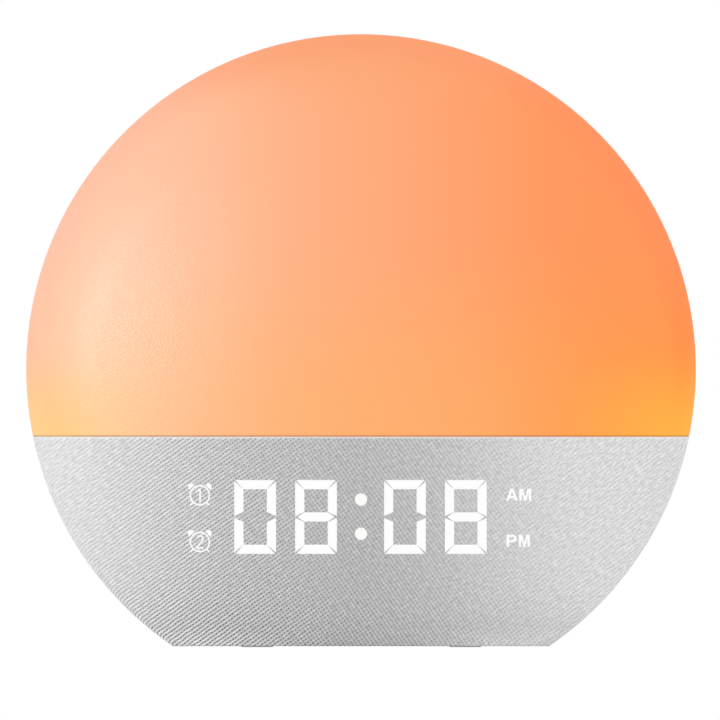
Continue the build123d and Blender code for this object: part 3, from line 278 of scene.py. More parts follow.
def weaveTwill():
    material, tree, shader = startMaterial(
        "wovenPolyesterTwill",
        {"Roughness": 0.9, "Specular IOR Level": 0.15, "Sheen Weight": 0.1, "Sheen Roughness": 0.5},
    )

    def times(*factors):
        product = factors[0]
        for factor in factors[1:]:
            product = calculate(tree, "MULTIPLY", product, factor)
        return product

    # the yarns stray a little, then ribs and floats are waves along and across the rib's direction
    inMm = scaled(tree, addNode(tree, "UVMap", uv_map="cloth").outputs["UV"], 1 / mm)
    stray = combine(tree, "SUBTRACT", noise(tree, inMm, twill["wanderScale"], 1.0)["Color"], (0.5,) * 3)
    laid = combine(tree, "ADD", inMm, scaled(tree, stray, twill["wander"]))
    turned = addNode(tree, "Mapping", {
        "Vector": laid, "Rotation": (0, 0, -math.radians(twill["ribAngle"])),
        "Scale": (2 * math.pi / twill["pitch"],) * 3,
    }).outputs[0]
    lattice = addNode(tree, "SeparateXYZ", {0: turned}).outputs
    rib = calculate(tree, "COSINE", lattice["Y"])
    cross = calculate(tree, "COSINE", lattice["X"])

    # how strongly each shows: across the cloth by the stops, and more towards the base, where the
    # cloth turns under
    place = addNode(tree, "SeparateXYZ", {0: inMm}).outputs
    reach = twill["pull"][-1][0]
    stops = [((x + reach) / (2 * reach), strengths) for x, *strengths in twill["pull"]]
    # the ramp's alpha is painted shade: the middle of the cloth darker, its sides paler
    ramp = colourRamp(tree, remap(tree, place["X"], (-reach, reach)), stops)
    pull = addNode(tree, "SeparateColor", {0: ramp["Color"]}).outputs
    low = remap(tree, place["Y"], twill["lowFrom"], twill["lowGain"])
    lowRibs = remap(tree, place["Y"], twill["lowRibsFrom"], twill["lowGain"])
    floats = calculate(tree, "ADD", times(rib, pull[0], lowRibs), times(cross, pull[1]))
    weave = calculate(tree, "SUBTRACT", floats, times(rib, cross, pull[2]))

    # no two stitches are quite alike, in shade or in tension
    yarn = noise(tree, combine(tree, "MULTIPLY", turned, twill["slubShape"]), 1.0, 0.0)["Fac"]
    uneven = remap(tree, yarn, toEnds=(1 - twill["slub"], 1 + twill["slub"]))
    tension = remap(tree, noise(tree, laid, twill["tensionScale"], 1.0)["Fac"], toEnds=twill["tension"])
    height = times(weave, low, tension)
    # the weave is its yarn pattern with painted shade in its hollows: low yarns and holes come out darker
    shade = times(remap(tree, height, twill["heights"], twill["levels"]), uneven, ramp["Alpha"])

    # painted light: paler towards the lower edge, more to the sides, and palest in the fold itself,
    # lifting the shade near the floor
    bottom, top = (corner.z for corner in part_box("fabric_cover"))
    spot = addNode(tree, "SeparateXYZ", {0: placeOnPart(tree)}).outputs
    under = remap(tree, spot["Z"], (bottom + twill["paintedLightReach"] * mm, bottom), (0.0, twill["paintedLightGain"]))
    aside = [x * mm for x in twill["paintedLightAside"]]
    outward = remap(tree, calculate(tree, "ABSOLUTE", spot["X"]), aside, (twill["paintedLightMiddle"], 1.0))
    paintedLightLow = calculate(tree, "ADD", times(under, outward), 1.0)
    paintedFold = remap(tree, spot["Z"], (bottom + twill["paintedFoldReach"] * mm, bottom), (1.0, twill["paintedFoldGain"]))
    woven = scaled(tree, linear(twill["colour"])[:3], times(shade, times(paintedLightLow, paintedFold)))
    # painted highlight: the top of the cloth turns bluish white where its rolled edge catches the light
    highlightStart = top - twill["paintedHighlightWidth"] * mm
    edge = remap(tree, spot["Z"], (highlightStart - twill["paintedHighlightBlend"] * mm, highlightStart))
    feed(tree, shader, {
        "Base Color": mixColours(tree, edge, woven, linear(twill["paintedEdgeHighlight"])),
        "Normal": bumpFrom(tree, height, twill["relief"]),
    })
    return material


twillMaterial = weaveTwill()

cloth = {
    "thickness": 0.8 * mm,
    "rollRadius": 0.85 * mm,
    "returnDepth": 3.5 * mm,
    "columns": 181,
    "returnRows": 5,
    "rollRows": 8,
    "skinRows": 60,
    "baseRows": 9,
    "bowPoints": 200,
    "give": 0.42,  # the least share of its length that a steep step counts as
    "openingHalfWidth": 45.72 * mm,
    "openingFront": -19.54 * mm,
    "openingSide": -3.23 * mm,
}


def clothSurface():
    # a row is a level section at an inset and a height: x = half width * sin(turn), with the turn
    # from -90 to 90 degrees, and y from the front's profile; the rows run along the top return,
    # round its roll, down the skin, round the lower roll and in over the base to its opening
    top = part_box("fabric_cover")[1].z
    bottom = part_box("fabric_cover")[0].z
    roll = cloth["rollRadius"]
    bend = np.linspace(0, math.pi / 2, cloth["rollRows"])
    falling, growing = roll * (1 - np.sin(bend)), roll * (1 - np.cos(bend))
    returnEnd = cloth["thickness"] + cloth["returnDepth"]
    returnInset = np.linspace(returnEnd, roll, cloth["returnRows"])[:-1]
    skinHeight = np.linspace(top - roll, bottom + roll, cloth["skinRows"])[1:-1]
    inset = np.concatenate((returnInset, falling, 0 * skinHeight, growing))
    height = np.concatenate((0 * returnInset + top, top - growing, skinHeight, bottom + falling))
    turn = np.linspace(-math.pi / 2, math.pi / 2, cloth["columns"])
    inset, height = inset[:, None], height[:, None]
    halfWidth = np.sqrt((bodyShape["radius"] - inset) ** 2 - (height - axisHeight) ** 2)
    x = halfWidth * np.sin(turn)
    z = height + 0 * x
    y = frontSkin(x, z, inset)
    y[:, [0, -1]] = partingY
    wall = np.stack((x, y, z), axis=2)

    # the opening: a straight side, a bow of radius (w squared + rise squared) / 2 rise, a side
    rise = cloth["openingSide"] - cloth["openingFront"]
    bowRadius = (cloth["openingHalfWidth"] ** 2 + rise**2) / (2 * rise)
    half = math.asin(cloth["openingHalfWidth"] / bowRadius)
    sweep = np.linspace(-half, half, cloth["bowPoints"])
    bowX = bowRadius * np.sin(sweep)
    bowY = cloth["openingFront"] + bowRadius * (1 - np.cos(sweep))
    edgeX = np.concatenate(([bowX[0]], bowX, [bowX[-1]]))
    edgeY = np.concatenate(([partingY], bowY, [partingY]))
    edge = np.stack((edgeX, edgeY, 0 * edgeX), axis=1)[None]
    edgeWay = alongPath(edge)[0]
    wallWay = alongPath(wall[-1:])[0]
    wanted = wallWay / wallWay[-1] * edgeWay[-1]
    innerX, innerY = (np.interp(wanted, edgeWay, values) for values in (edgeX, edgeY))
    inner = np.stack((innerX, innerY, 0 * wanted + bottom), axis=1)
    share = np.linspace(0, 1, cloth["baseRows"])[1:, None, None]
    base = wall[-1] * (1 - share) + inner * share
    return np.concatenate((wall, base))


# the cloth's length along each row, from the middle, and down its middle column
surface = clothSurface()
rowCount, columnCount = surface.shape[:2]
across = alongPath(surface)
middleColumn = columnCount // 2
across -= across[:, middleColumn][:, None]


def stretchedWay(steps, level):
    # the cloth gives most where it turns away: a step counts as its level part, or as a set share
    # of its whole length once it is steeper than that
    whole = np.linalg.norm(steps, axis=-1)
    return np.maximum(np.abs(level), cloth["give"] * whole)


# where each point lies on the unstretched weave: to the side of the middle, and down from the top
sideSteps = np.diff(surface, axis=1)
sideWay = np.concatenate(
    (np.zeros((rowCount, 1)), np.cumsum(stretchedWay(sideSteps, sideSteps[..., 0]), axis=1)), axis=1
)
sideWay -= sideWay[:, middleColumn][:, None]
downSteps = np.diff(surface[:, middleColumn], axis=0)
downWay = np.concatenate(([0.0], np.cumsum(stretchedWay(downSteps, downSteps[:, 2]))))
clothUv = np.stack((sideWay, 0 * sideWay + surface[0, 0, 2] - downWay[:, None]), axis=2).reshape(-1, 2)
clothFaces = gridFaces(rowCount, columnCount)
clothPiece = makePiece(
    "clothCover", surface.reshape(-1, 3), clothFaces, twillMaterial, "clock"
)
clothMesh = clothPiece.data
uvLayer = clothMesh.uv_layers.new(name="cloth")
loopVertex = np.empty(len(clothMesh.loops), np.int32)
clothMesh.loops.foreach_get("vertex_index", loopVertex)
uvLayer.data.foreach_set("uv", clothUv[loopVertex].astype(np.float32).ravel())
thickness = clothPiece.modifiers.new("thickness", "SOLIDIFY")
thickness.thickness = cloth["thickness"]
thickness.offset = -1
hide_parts("fabric_cover")


# moulded frosted polycarbonate, lit from behind: the colour runs from a pale peach on the left
# through orange on the right and turns yellow towards the two lower corners
dome = {
    "glow": [(0.03, "#ffccae"), (0.35, "#ffb68d"), (0.7, "#ff9f69"), (0.97, "#ff9458")],
    "lowGlow": [(0.03, "#ffc9a1"), (0.35, "#ffb77e"), (0.7, "#ffa965"), (0.97, "#ff9842")],
    "lowReach": 60 * mm,  # how far up from the seam the lower colours blend in
    "topGlow": "#ffa772",
    "topFrom": 85 * mm,
    "topTo": 110 * mm,
    "topShare": 0.7,
    "cornerGlow": "#ffd743",
    "cornerFrom": 48 * mm,  # to each side of the middle
    "cornerReach": 27 * mm,
    "cornerShare": 0.36,
    "rimFrom": 80 * mm,  # from the axis; past it the glow turns deeper
    "rimLoss": 0.1,
    "rimEnd": 24 * mm,  # above the seam; below it the rim keeps more and more of its glow
    # painted shade along the seam, between these heights and at this share
    "seamShadeFrom": 0.1 * mm,  # heights above the wall's lower end
    "seamShadeTo": 0.38 * mm,
    "seamShadeShare": 0.68,
    "share": 0.8,  # of the colour that comes from the lamp within
    "grain": 0.5,  # mm, the etched face
    "etch": 0.02,  # mm
    "gloss": 0.15,
    "glossEtch": 0.16,  # mm, how deep the grain looks where the skin shines
}


def frostDome():
    material, tree, shader = startMaterial(
        "frostedPolycarbonate",
        {
            "Roughness": 0.5, "IOR": 1.58, "Specular IOR Level": 0.0, "Emission Strength": 1.0,
            "Coat Weight": dome["gloss"], "Coat Roughness": 0.3, "Coat IOR": 1.58,
        },
    )
    place = addNode(tree, "SeparateXYZ", {0: placeOnPart(tree)}).outputs
    x, z = place["X"], place["Z"]
    radius = bodyShape["radius"]
    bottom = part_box("diffuser_dome")[0].z  # the tongue's lower end, just above the cloth

    # the colours from left to right, high up and low down, then the crown's and the corners'
    across = remap(tree, x, (-radius, radius))
    high, low = (
        colourRamp(tree, across, [(position, linear(colour)) for position, colour in dome[key]])["Color"]
        for key in ("glow", "lowGlow")
    )
    topEnds = (bottom + dome["topFrom"], bottom + dome["topTo"])
    topShare = remap(tree, z, topEnds, (0.0, dome["topShare"]), True)
    lowShare = remap(tree, z, (bottom + dome["lowReach"], bottom), smooth=True)
    glow = mixColours(tree, topShare, high, linear(dome["topGlow"]))
    glow = mixColours(tree, lowShare, glow, low)
    outward = remap(tree, calculate(tree, "ABSOLUTE", x), (dome["cornerFrom"], radius), smooth=True)
    downward = remap(tree, z, (bottom + dome["cornerReach"], bottom), (0.0, dome["cornerShare"]), True)
    corner = calculate(tree, "MULTIPLY", outward, downward)
    glow = mixColours(tree, corner, glow, linear(dome["cornerGlow"]))

    # towards the rim green and blue fall off, but less and less near the seam
    rise = calculate(tree, "SUBTRACT", z, axisHeight)
    reach = lengthOf(tree, addNode(tree, "CombineXYZ", {0: x, 1: rise}).outputs[0])
    rim = remap(tree, reach, (dome["rimFrom"], radius), (1.0, 1 - dome["rimLoss"]), True)
    rimLeast = remap(tree, z, (bottom + dome["rimEnd"], bottom), (1 - dome["rimLoss"], 1.0))
    rimKept = calculate(tree, "MAXIMUM", rim, rimLeast)
    deeper = addNode(tree, "CombineXYZ", {0: 1.0, 1: rimKept, 2: rimKept}).outputs[0]
    # painted shade: the glow and colour are darkened at the wall's lower end, which draws a darker line
    # along the seam
    seamShadeEnds = (bottom + dome["seamShadeFrom"], bottom + dome["seamShadeTo"])
    edge = remap(tree, z, seamShadeEnds, (dome["seamShadeShare"], 1.0))
    toned = scaled(tree, combine(tree, "MULTIPLY", glow, deeper), edge)

    frost = noise(tree, placeInMillimetres(tree), 1 / dome["grain"], 2.0)["Fac"]
    feed(tree, shader, {
        "Base Color": scaled(tree, toned, 1 - dome["share"]),
        "Emission Color": scaled(tree, toned, dome["share"]),
        "Normal": bumpFrom(tree, frost, dome["etch"]),
        "Coat Normal": bumpFrom(tree, frost, dome["glossEtch"]),
    })
    return material


# the display's light: how many swells of yarn to a millimetre, and how dark the yarn makes it
film = {"yarnScale": 1.6, "darkest": 0.97}


def lightFilm(name, colour):
    # where it comes through the cloth it is even and matt, with a trace of yarn
    material, tree, shader = startMaterial(name, {
        "Base Color": (0, 0, 0, 1), "Roughness": 0.9, "Specular IOR Level": 0.0, "Emission Strength": 1.0,
    })
    yarn = noise(tree, placeInMillimetres(tree), film["yarnScale"], 2.0)["Fac"]
    base = linear(colour)
    feed(tree, shader, {"Emission Color": mixColours(tree, yarn, shaded(base, film["darkest"]), base)})
    return material


domeMaterial = frostDome()
digitLight = lightFilm("ledLightThroughCloth", "#ffffff")
colonLight = lightFilm("ledLightThroughClothWarm", "#fcfcfa")
print("dome and display light done")


def prismOf(outline, low, high):
    # a flat outline, counterclockwise, carried between two depths: its points twice, a cap at
    # each end and a quad for each side
    count = len(outline)
    points = np.concatenate([np.column_stack((outline, np.full(count, depth))) for depth in (low, high)])
    ring = np.arange(count)
    after = np.roll(ring, -1)
    sides = np.column_stack((ring, after, after + count, ring + count)).tolist()
    return points, [ring[::-1].tolist(), (ring + count).tolist()] + sides


def circleOf(middle, radius, start, end, steps):
    # points on a circle between two angles in degrees, the last left out where the circle closes
    turn = np.radians(np.linspace(start, end, steps, endpoint=end - start < 360))
    return np.column_stack((middle[0] + radius * np.cos(turn), middle[1] + radius * np.sin(turn)))


def ringOf(middle, outer, inner, low, high, start=0.0, end=360.0, steps=48):
    # a flat ring or arc: four circles of points, at the outer and inner radius and at both
    # depths, joined by quads; an arc gets an end face on each side
    corners = ((outer, low), (outer, high), (inner, high), (inner, low))
    points = np.concatenate([
        np.column_stack((circleOf(middle, radius, start, end, steps), np.full(steps, depth)))
        for radius, depth in corners
    ])
    closed = end - start >= 360
    ring = np.arange(steps if closed else steps - 1)
    after = (ring + 1) % steps
    faces = []
    for k in range(4):
        here, beside = k * steps, (k + 1) % 4 * steps
        faces += np.column_stack((ring + here, after + here, after + beside, ring + beside)).tolist()
    if not closed:
        faces.append([k * steps for k in range(4)])
        faces.append([k * steps - 1 for k in range(4, 0, -1)])
    return points, faces


def strokeOf(start, end, width, low, high, caps=8):
    # a straight stroke with round ends: two half circles about its ends
    start, end = np.array(start, float), np.array(end, float)
    way = math.atan2(*(end - start)[::-1])
    first = way + np.linspace(math.pi / 2, 3 * math.pi / 2, caps)
    second = way + np.linspace(-math.pi / 2, math.pi / 2, caps)
    outline = np.concatenate((
        start + width / 2 * np.column_stack((np.cos(first), np.sin(first))),
        end + width / 2 * np.column_stack((np.cos(second), np.sin(second))),
    ))
    return prismOf(outline, low, high)


def discOf(middle, radius, low, high, start=0.0, end=360.0, steps=32):
    # a disc, or a segment of one with its chord as the flat side
    return prismOf(circleOf(middle, radius, start, end, steps), low, high)


def joinShapes(shapes):
    # several point and face lists as one
    points, faces, count = [], [], 0
    for shapePoints, shapeFaces in shapes:
        points.append(shapePoints)
        faces += [[index + count for index in face] for face in shapeFaces]
        count += len(shapePoints)
    return np.concatenate(points), faces


# the alarm pictures and day marks that the display throws on the cloth
marks = {
    "displayHeight": (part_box("lit_digits")[0].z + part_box("lit_digits")[1].z) / 2,
    "lift": 0.12 * mm,
    "clockX": -43.3 * mm,
    "clockRise": {"1": 5.75 * mm, "2": -6.8 * mm},
    "ringRadius": 2.77 * mm,
    "ringWidth": 0.42 * mm,
    "pen": 0.42 * mm,
    "bellLean": 45,  # degrees from upright
    "bellReach": 1.15,  # of the ring's radius
    "bellRadius": 0.93 * mm,
    "bellSweep": 100,  # degrees to each side of its lean
    "toeLean": 43,
    "toeReach": (0.98, 1.27),
    "twoBow": {"rise": 0.82 * mm, "radius": 0.82 * mm, "from": -38, "to": 165},
    "strokes": {  # from and to, about the ring's middle, in millimetres
        "1": [(0.05, -1.6, 0.05, 1.65), (0.05, 1.65, -0.85, 1.05)],
        "2": [(0.65, 0.31, -0.9, -1.6), (-0.9, -1.6, 0.85, -1.6)],
    },
    "wordX": {"AM": 42.33 * mm, "PM": 42.24 * mm},
    "wordRise": {"AM": 5.9 * mm, "PM": -6.5 * mm},
    "wordSize": {"AM": (6.8 * mm, 3.25 * mm), "PM": (6.25 * mm, 3.25 * mm)},
    "letterWidth": {"A": 0.475, "P": 0.44, "M": 0.475},  # of the word's width
}


def lightMark(name, shapes):
    # a piece of light from flat shapes, whose third value is a depth, laid on the front's skin
    points, faces = joinShapes(shapes)
    x, z, depth = points.T
    place = np.column_stack((x, frontSkin(x, z) - depth * marks["lift"], z))
    return makePiece(name, place, faces, digitLight, "clock", smooth=False)


# the time in bars of light; each figure is a set of seven bars, keyed a to g from the top clockwise,
# then the middle
figures = {
    "time": "0808",
    "places": [-28.45 * mm, -12.09 * mm, 11.8 * mm, 28.15 * mm],
    "rise": -0.08 * mm,
    "size": (11.22 * mm, 19.84 * mm),
    "bar": 2.47 * mm,
    "cornerGap": 0.32 * mm,
    "innerGap": 0.03 * mm,
    "middleGap": 0.27 * mm,
    "waistGap": 0.12 * mm,
    "tip": 0.62 * mm,
    "step": 1.2 * mm,
    "lit": {"0": "abcdef", "8": "abcdefg"},
}


def barOutlines():
    # the outlines of the seven bars about the figure's middle, counterclockwise
    halfWidth, halfHeight = figures["size"][0] / 2, figures["size"][1] / 2
    innerX, innerZ = halfWidth - figures["bar"], halfHeight - figures["bar"]
    waist = figures["bar"] / 2
    corner, inner = figures["cornerGap"], figures["innerGap"]
    top = np.array([
        (-halfWidth + corner, halfHeight), (-innerX + inner, innerZ), (innerX - inner, innerZ),
        (halfWidth - corner, halfHeight),
    ])
    right = np.array([
        (halfWidth, figures["middleGap"]), (halfWidth, halfHeight - corner), (innerX, innerZ - inner),
        (innerX, waist + figures["waistGap"]),
    ])
    tip = halfWidth - figures["tip"]
    middle = np.array([
        (tip, 0), (innerX, waist), (-innerX, waist), (-tip, 0), (-innerX, -waist), (innerX, -waist),
    ])
    flip = np.array([(1, -1)])
    return {
        "a": top, "b": right, "c": (right * flip)[::-1], "d": (top * flip)[::-1], "e": -right,
        "f": (right * -flip)[::-1], "g": middle,
    }


def steppedOutline(outline, step):
    # the same outline with points no further apart than a step, so that it can bend
    points = []
    for start, end in zip(outline, np.roll(outline, -1, axis=0)):
        count = max(1, math.ceil(np.linalg.norm(end - start) / step))
        points.append(start + np.linspace(0, 1, count, endpoint=False)[:, None] * (end - start))
    return np.concatenate(points)


bars = barOutlines()
figureRise = marks["displayHeight"] + figures["rise"]
timeFigures = lightMark("timeFigures", [
    prismOf(steppedOutline(bars[letter] + (place, figureRise), figures["step"]), -1, 1)
    for figure, place in zip(figures["time"], figures["places"])
    for letter in figures["lit"][figure]
])
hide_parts("lit_digits")


def letterShapes(letter):
    # a letter in a box one unit wide and high, from plain outlines, counterclockwise
    if letter == "A":
        legs = [(0, 0), (0.23, 0), (0.5, 0.76), (0.77, 0), (1, 0), (0.63, 1), (0.37, 1)]
        outlines = [legs, [(0.2, 0.2), (0.8, 0.2), (0.73, 0.38), (0.27, 0.38)]]
    elif letter == "M":
        outlines = [[
            (0, 0), (0.21, 0), (0.21, 0.72), (0.41, 0), (0.59, 0), (0.79, 0.72), (0.79, 0), (1, 0),
            (1, 1), (0.69, 1), (0.5, 0.33), (0.31, 1), (0, 1),
        ]]
    else:
        # P: its stem, and a bowl that turns round its hole
        stem = [(0, 0), (0.26, 0), (0.26, 1), (0, 1)]
        turn = np.radians(np.linspace(90, -90, 16))
        outer = np.column_stack((0.62 + 0.38 * np.cos(turn), 0.69 + 0.31 * np.sin(turn)))
        inner = np.column_stack((0.58 + 0.15 * np.cos(turn), 0.69 + 0.13 * np.sin(turn)))[::-1]
        bowl = np.concatenate(([(0.2, 1.0)], outer, [(0.2, 0.38), (0.2, 0.56)], inner, [(0.2, 0.82)]))
        outlines = [stem, bowl[::-1]]
    return [prismOf(np.array(outline), -1, 1) for outline in outlines]


def dayMark(word):
    # two letters side by side, fitted to the word's size about its middle
    width, height = marks["wordSize"][word]
    middle, rise = marks["wordX"][word], marks["wordRise"][word]
    shapes, start = [], 0.0
    for letter in word:
        for points, faces in letterShapes(letter):
            points[:, 0] = (start + points[:, 0] * marks["letterWidth"][letter] - 0.5) * width + middle
            points[:, 1] = (points[:, 1] - 0.5) * height + marks["displayHeight"] + rise
            shapes.append((points, faces))
        start = 1 - marks["letterWidth"]["M"]
    lightMark("dayMark" + word, shapes)


def alarmPicture(number):
    # a twin-bell clock: ring, two bells, two feet and the alarm's number in thin strokes
    x, z = marks["clockX"], marks["displayHeight"] + marks["clockRise"][number]
    outer, pen = marks["ringRadius"], marks["pen"]
    shapes = [ringOf((x, z), outer, outer - marks["ringWidth"], -1, 1, steps=64)]

    def fromMiddle(angle, share):
        lean = math.radians(angle)
        return x + share * outer * math.cos(lean), z + share * outer * math.sin(lean)

    for side in (-1, 1):
        facing, sweep = 90 - side * marks["bellLean"], marks["bellSweep"]
        bell = fromMiddle(facing, marks["bellReach"])
        shapes.append(discOf(bell, marks["bellRadius"], -1, 1, facing - sweep, facing + sweep, 20))
        toes = [fromMiddle(-90 + side * marks["toeLean"], share) for share in marks["toeReach"]]
        shapes.append(strokeOf(*toes, pen, -1, 1))
    if number == "2":
        bow = marks["twoBow"]
        middle = (x, z + bow["rise"])
        bowOuter, bowInner = bow["radius"] + pen / 2, bow["radius"] - pen / 2
        shapes.append(ringOf(middle, bowOuter, bowInner, -1, 1, bow["from"], bow["to"], 24))
    for x0, z0, x1, z1 in marks["strokes"][number]:
        shapes.append(strokeOf((x + x0 * mm, z + z0 * mm), (x + x1 * mm, z + z1 * mm), pen, -1, 1))
    lightMark("alarmPicture" + number, shapes)


for number in ("1", "2"):
    alarmPicture(number)
for word in ("AM", "PM"):
    dayMark(word)
print("display marks done")

# what every other part is made of: for plastics colour, roughness, size and depth of the grain in
# millimetres and mottle; for metals colour, roughness, width of a line and the way it is drawn
whiteAbs = moulded("mouldedAbsWhite", "#e4e4e2", 0.48, 0.45, 0.02)  # fine satin, spark-eroded tool
keyAbs = moulded("mouldedAbsKey", "#d6d6d4", 0.42, 0.35, 0.012)  # a finer grain than the shell's
symbolPaint = moulded("padPrintedInkGrey", "#6a6c70", 0.55, 0.2, 0.01)  # matt, a little uneven
carrierPlastic = moulded("mouldedPcAbsDark", "#3b3b3d", 0.5, 0.5, 0.02)  # plain inner moulding
innerAbs = moulded("mouldedAbsInner", "#dbdbd8", 0.5, 0.6, 0.02)  # a coarser, cheaper tool face
reflectorPlastic = moulded("mouldedPolycarbonateWhite", "#f0f0ee", 0.28, 0.8, 0.006)  # bright and smooth
blackPbt = moulded("mouldedPbtBlack", "#1c1c1d", 0.45, 0.3, 0.015)  # dense and even
connectorNylon = moulded(  # undyed, so light goes a little way in
    "mouldedNylonNatural", "#e2dccb", 0.4, 0.4, 0.01, **{"Subsurface Weight": 0.1}
)
footRubber = moulded("mouldedSiliconePale", "#e2e2df", 0.7, 0.5, 0.02)  # soft and matt
siliconeRubber = moulded("mouldedSiliconeBlack", "#242424", 0.78, 0.5, 0.03)  # dull, holds dust
clearAcrylic = moulded(  # glassy, from a polished tool
    "mouldedAcrylicClear", "#e6ebee", 0.08, 1.2, 0.004, **{"Transmission Weight": 0.85}
)
ledPackage = moulded("mouldedEpoxyPhosphor", "#efe3b0", 0.22, 0.4, 0.01, 0.12)  # yellow-white resin
greenBoard = moulded("solderMaskGreen", "#1f5a38", 0.3, 0.7, 0.015, 0.25)  # glossy, over glass fibre
componentEpoxy = moulded("mouldedEpoxyBlack", "#232323", 0.38, 0.25, 0.01)  # fine and half matt
basketPaint = moulded("powderCoatBlack", "#202021", 0.5, 0.35, 0.03)  # orange peel of the coat
ferriteCore = moulded("sinteredFerrite", "#2b2b2d", 0.62, 0.3, 0.03)  # fired, with a gritty face
conePaper = moulded("pressedPaperPulp", "#2a2a29", 0.85, 0.8, 0.08, 0.2)  # short fibres, matt
gasketFoam = moulded("closedCellFoam", "#2e2e30", 0.9, 0.4, 0.06)  # cut cells, dull
ribbonFilm = moulded("polyesterFilmRibbon", "#e4e4df", 0.3, 2.0, 0.004)  # smooth, a little wavy
zincSteel = drawnMetal("zincPlatedSteel", "#b9bcc0", 0.32, 0.25, (1, 1, 1))  # tumbled, no direction
cellSteel = drawnMetal("nickelPlatedSteelBright", "#c9c9c6", 0.24, 0.15, (1, 0.06, 1))  # brushed across
springBronze = drawnMetal("nickelPlatedBronze", "#cbbf9f", 0.3, 0.12, (0.08, 1, 1))  # rolled strip
copperWire = drawnMetal(  # turns of 0.12 mm under a clear enamel
    "enamelledCopperWire", "#b8703f", 0.3, 0.12, (0.05, 1, 0.05), coat=0.6
)

keyNames = ("light", "sound", "volume_down", "volume_up", "alarm_1", "alarm_2", "time", "dimmer")
finishes = (
    (twillMaterial, ["fabric_cover"]),
    (domeMaterial, ["diffuser_dome"]),
    (whiteAbs, ["rear_housing", "base_plate", "battery_cap", "speaker_grille"]),
    (keyAbs, ["button_" + name for name in keyNames]),
    (innerAbs, ["plunger_" + name for name in keyNames] + ["divider_shelf"]),
    (carrierPlastic, ["fabric_carrier"]),
    (reflectorPlastic, ["reflector"]),
    (blackPbt, ["display_shroud", "dc_jack", "switch_bodies"]),
    (connectorNylon, ["ribbon_plugs"]),
    (footRubber, ["rubber_feet"]),
    (siliconeRubber, ["speaker_surround"]),
    (clearAcrylic, ["segment_guides", "colon_guides", "indicator_guides"]),
    (ledPackage, ["display_leds", "led_chips"]),
    (greenBoard, ["display_board", "led_board", "control_board"]),
    (componentEpoxy, ["board_components"]),
    (basketPaint, ["speaker_basket"]),
    (ferriteCore, ["speaker_magnet"]),
    (conePaper, ["speaker_cone", "dust_cap"]),
    (gasketFoam, ["speaker_gasket"]),
    (ribbonFilm, ["display_ribbon"]),
    (zincSteel, [place + "_screws" for place in ("display", "base", "led", "control", "speaker")]),
    (zincSteel, ["speaker_yoke"]),  # turned steel, plated like the screws
    (cellSteel, ["coin_cell", "dc_pin"]),
    (springBronze, ["battery_contacts"]),
    (copperWire, ["voice_coil"]),
    (digitLight, ["lit_digits"]),
    (colonLight, ["lit_colon"]),
)
for material, names in finishes:
    for name in names:
        for slot in parts[name].material_slots:
            slot.material = material
print("finishes:", sum(len(names) for material, names in finishes), "parts")

# raised symbols on the keys, as seen from the back
symbol = {"height": 0.12 * mm, "sink": 0.05 * mm, "stroke": 0.5 * mm}


def symbolShapes(name):
    # strokes, rings and discs about the middle of a key, its right side positive; their depth runs
    # from 0 to 1, and a stroke's ends are in millimetres
    low, high = 0.0, 1.0

    def stroke(x0, z0, x1, z1):
        return strokeOf((x0 * mm, z0 * mm), (x1 * mm, z1 * mm), symbol["stroke"], low, high)

    if name == "light":
        rays = [(math.cos(a), math.sin(a)) for a in np.radians(np.arange(0, 360, 45))]
        return [ringOf((0, 0), 1.1 * mm, 0.62 * mm, low, high, steps=32)] + [
            stroke(1.7 * c, 1.7 * s, 2.3 * c, 2.3 * s) for c, s in rays
        ]
    if name == "sound":
        return [
            discOf((-0.9 * mm, -1.4 * mm), 0.62 * mm, low, high),
            discOf((1.3 * mm, -1.0 * mm), 0.62 * mm, low, high),
            stroke(-0.45, -1.3, -0.45, 1.5), stroke(1.75, -0.9, 1.75, 1.9), stroke(-0.45, 1.5, 1.75, 1.9),
        ]
    if name == "volume_down":
        return [stroke(-1.6, 0, 1.6, 0)]
    if name == "volume_up":
        return [stroke(-1.6, 0, 1.6, 0), stroke(0, 0.3, 0, 1.6), stroke(0, -0.3, 0, -1.6)]
    if name in ("time", "dimmer"):
        dial = ringOf((0, 0), 2.2 * mm, 1.75 * mm, low, high)
        hands = [stroke(0, 0, 0, 1.15), stroke(0, 0, 0.8, -0.45)]
        halfDisc = [discOf((0, 0), 1.45 * mm, low, high, -90, 90)]
        return [dial] + (hands if name == "time" else halfDisc)
    # the alarm keys: a bell's arc and clapper with the number's strokes beside it
    bell = [
        ringOf((-1.2 * mm, -0.2 * mm), 1.5 * mm, 1.05 * mm, low, high, 0, 180, 24),
        stroke(-2.45, -0.2, -2.45, -1.0), stroke(0.05, -0.2, 0.05, -1.0), stroke(-2.9, -1.3, 0.5, -1.3),
        discOf((-1.2 * mm, -2.0 * mm), 0.36 * mm, low, high),
    ]
    if name == "alarm_1":
        return bell + [stroke(2.3, -1.3, 2.3, 1.4), stroke(2.3, 1.4, 1.6, 0.9)]
    return bell + [
        ringOf((2.3 * mm, 0.65 * mm), 1.0 * mm, 0.55 * mm, low, high, -20, 170, 20),
        stroke(3.05, 0.35, 1.6, -1.3), stroke(1.6, -1.3, 3.2, -1.3),
    ]


for name in keyNames:
    keyLow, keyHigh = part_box("button_" + name)
    points, faces = joinShapes(symbolShapes(name))
    middleX, middleZ = (keyLow.x + keyHigh.x) / 2, (keyLow.z + keyHigh.z) / 2
    depth = keyHigh.y - symbol["sink"] + points[:, 2] * (symbol["height"] + symbol["sink"])
    place = np.column_stack((middleX - points[:, 0], depth, middleZ + points[:, 1]))
    camelName = "".join(word.capitalize() for word in name.split("_"))
    makePiece("symbol" + camelName, place, faces, symbolPaint, "key_" + name, smooth=False)
print("key symbols done")


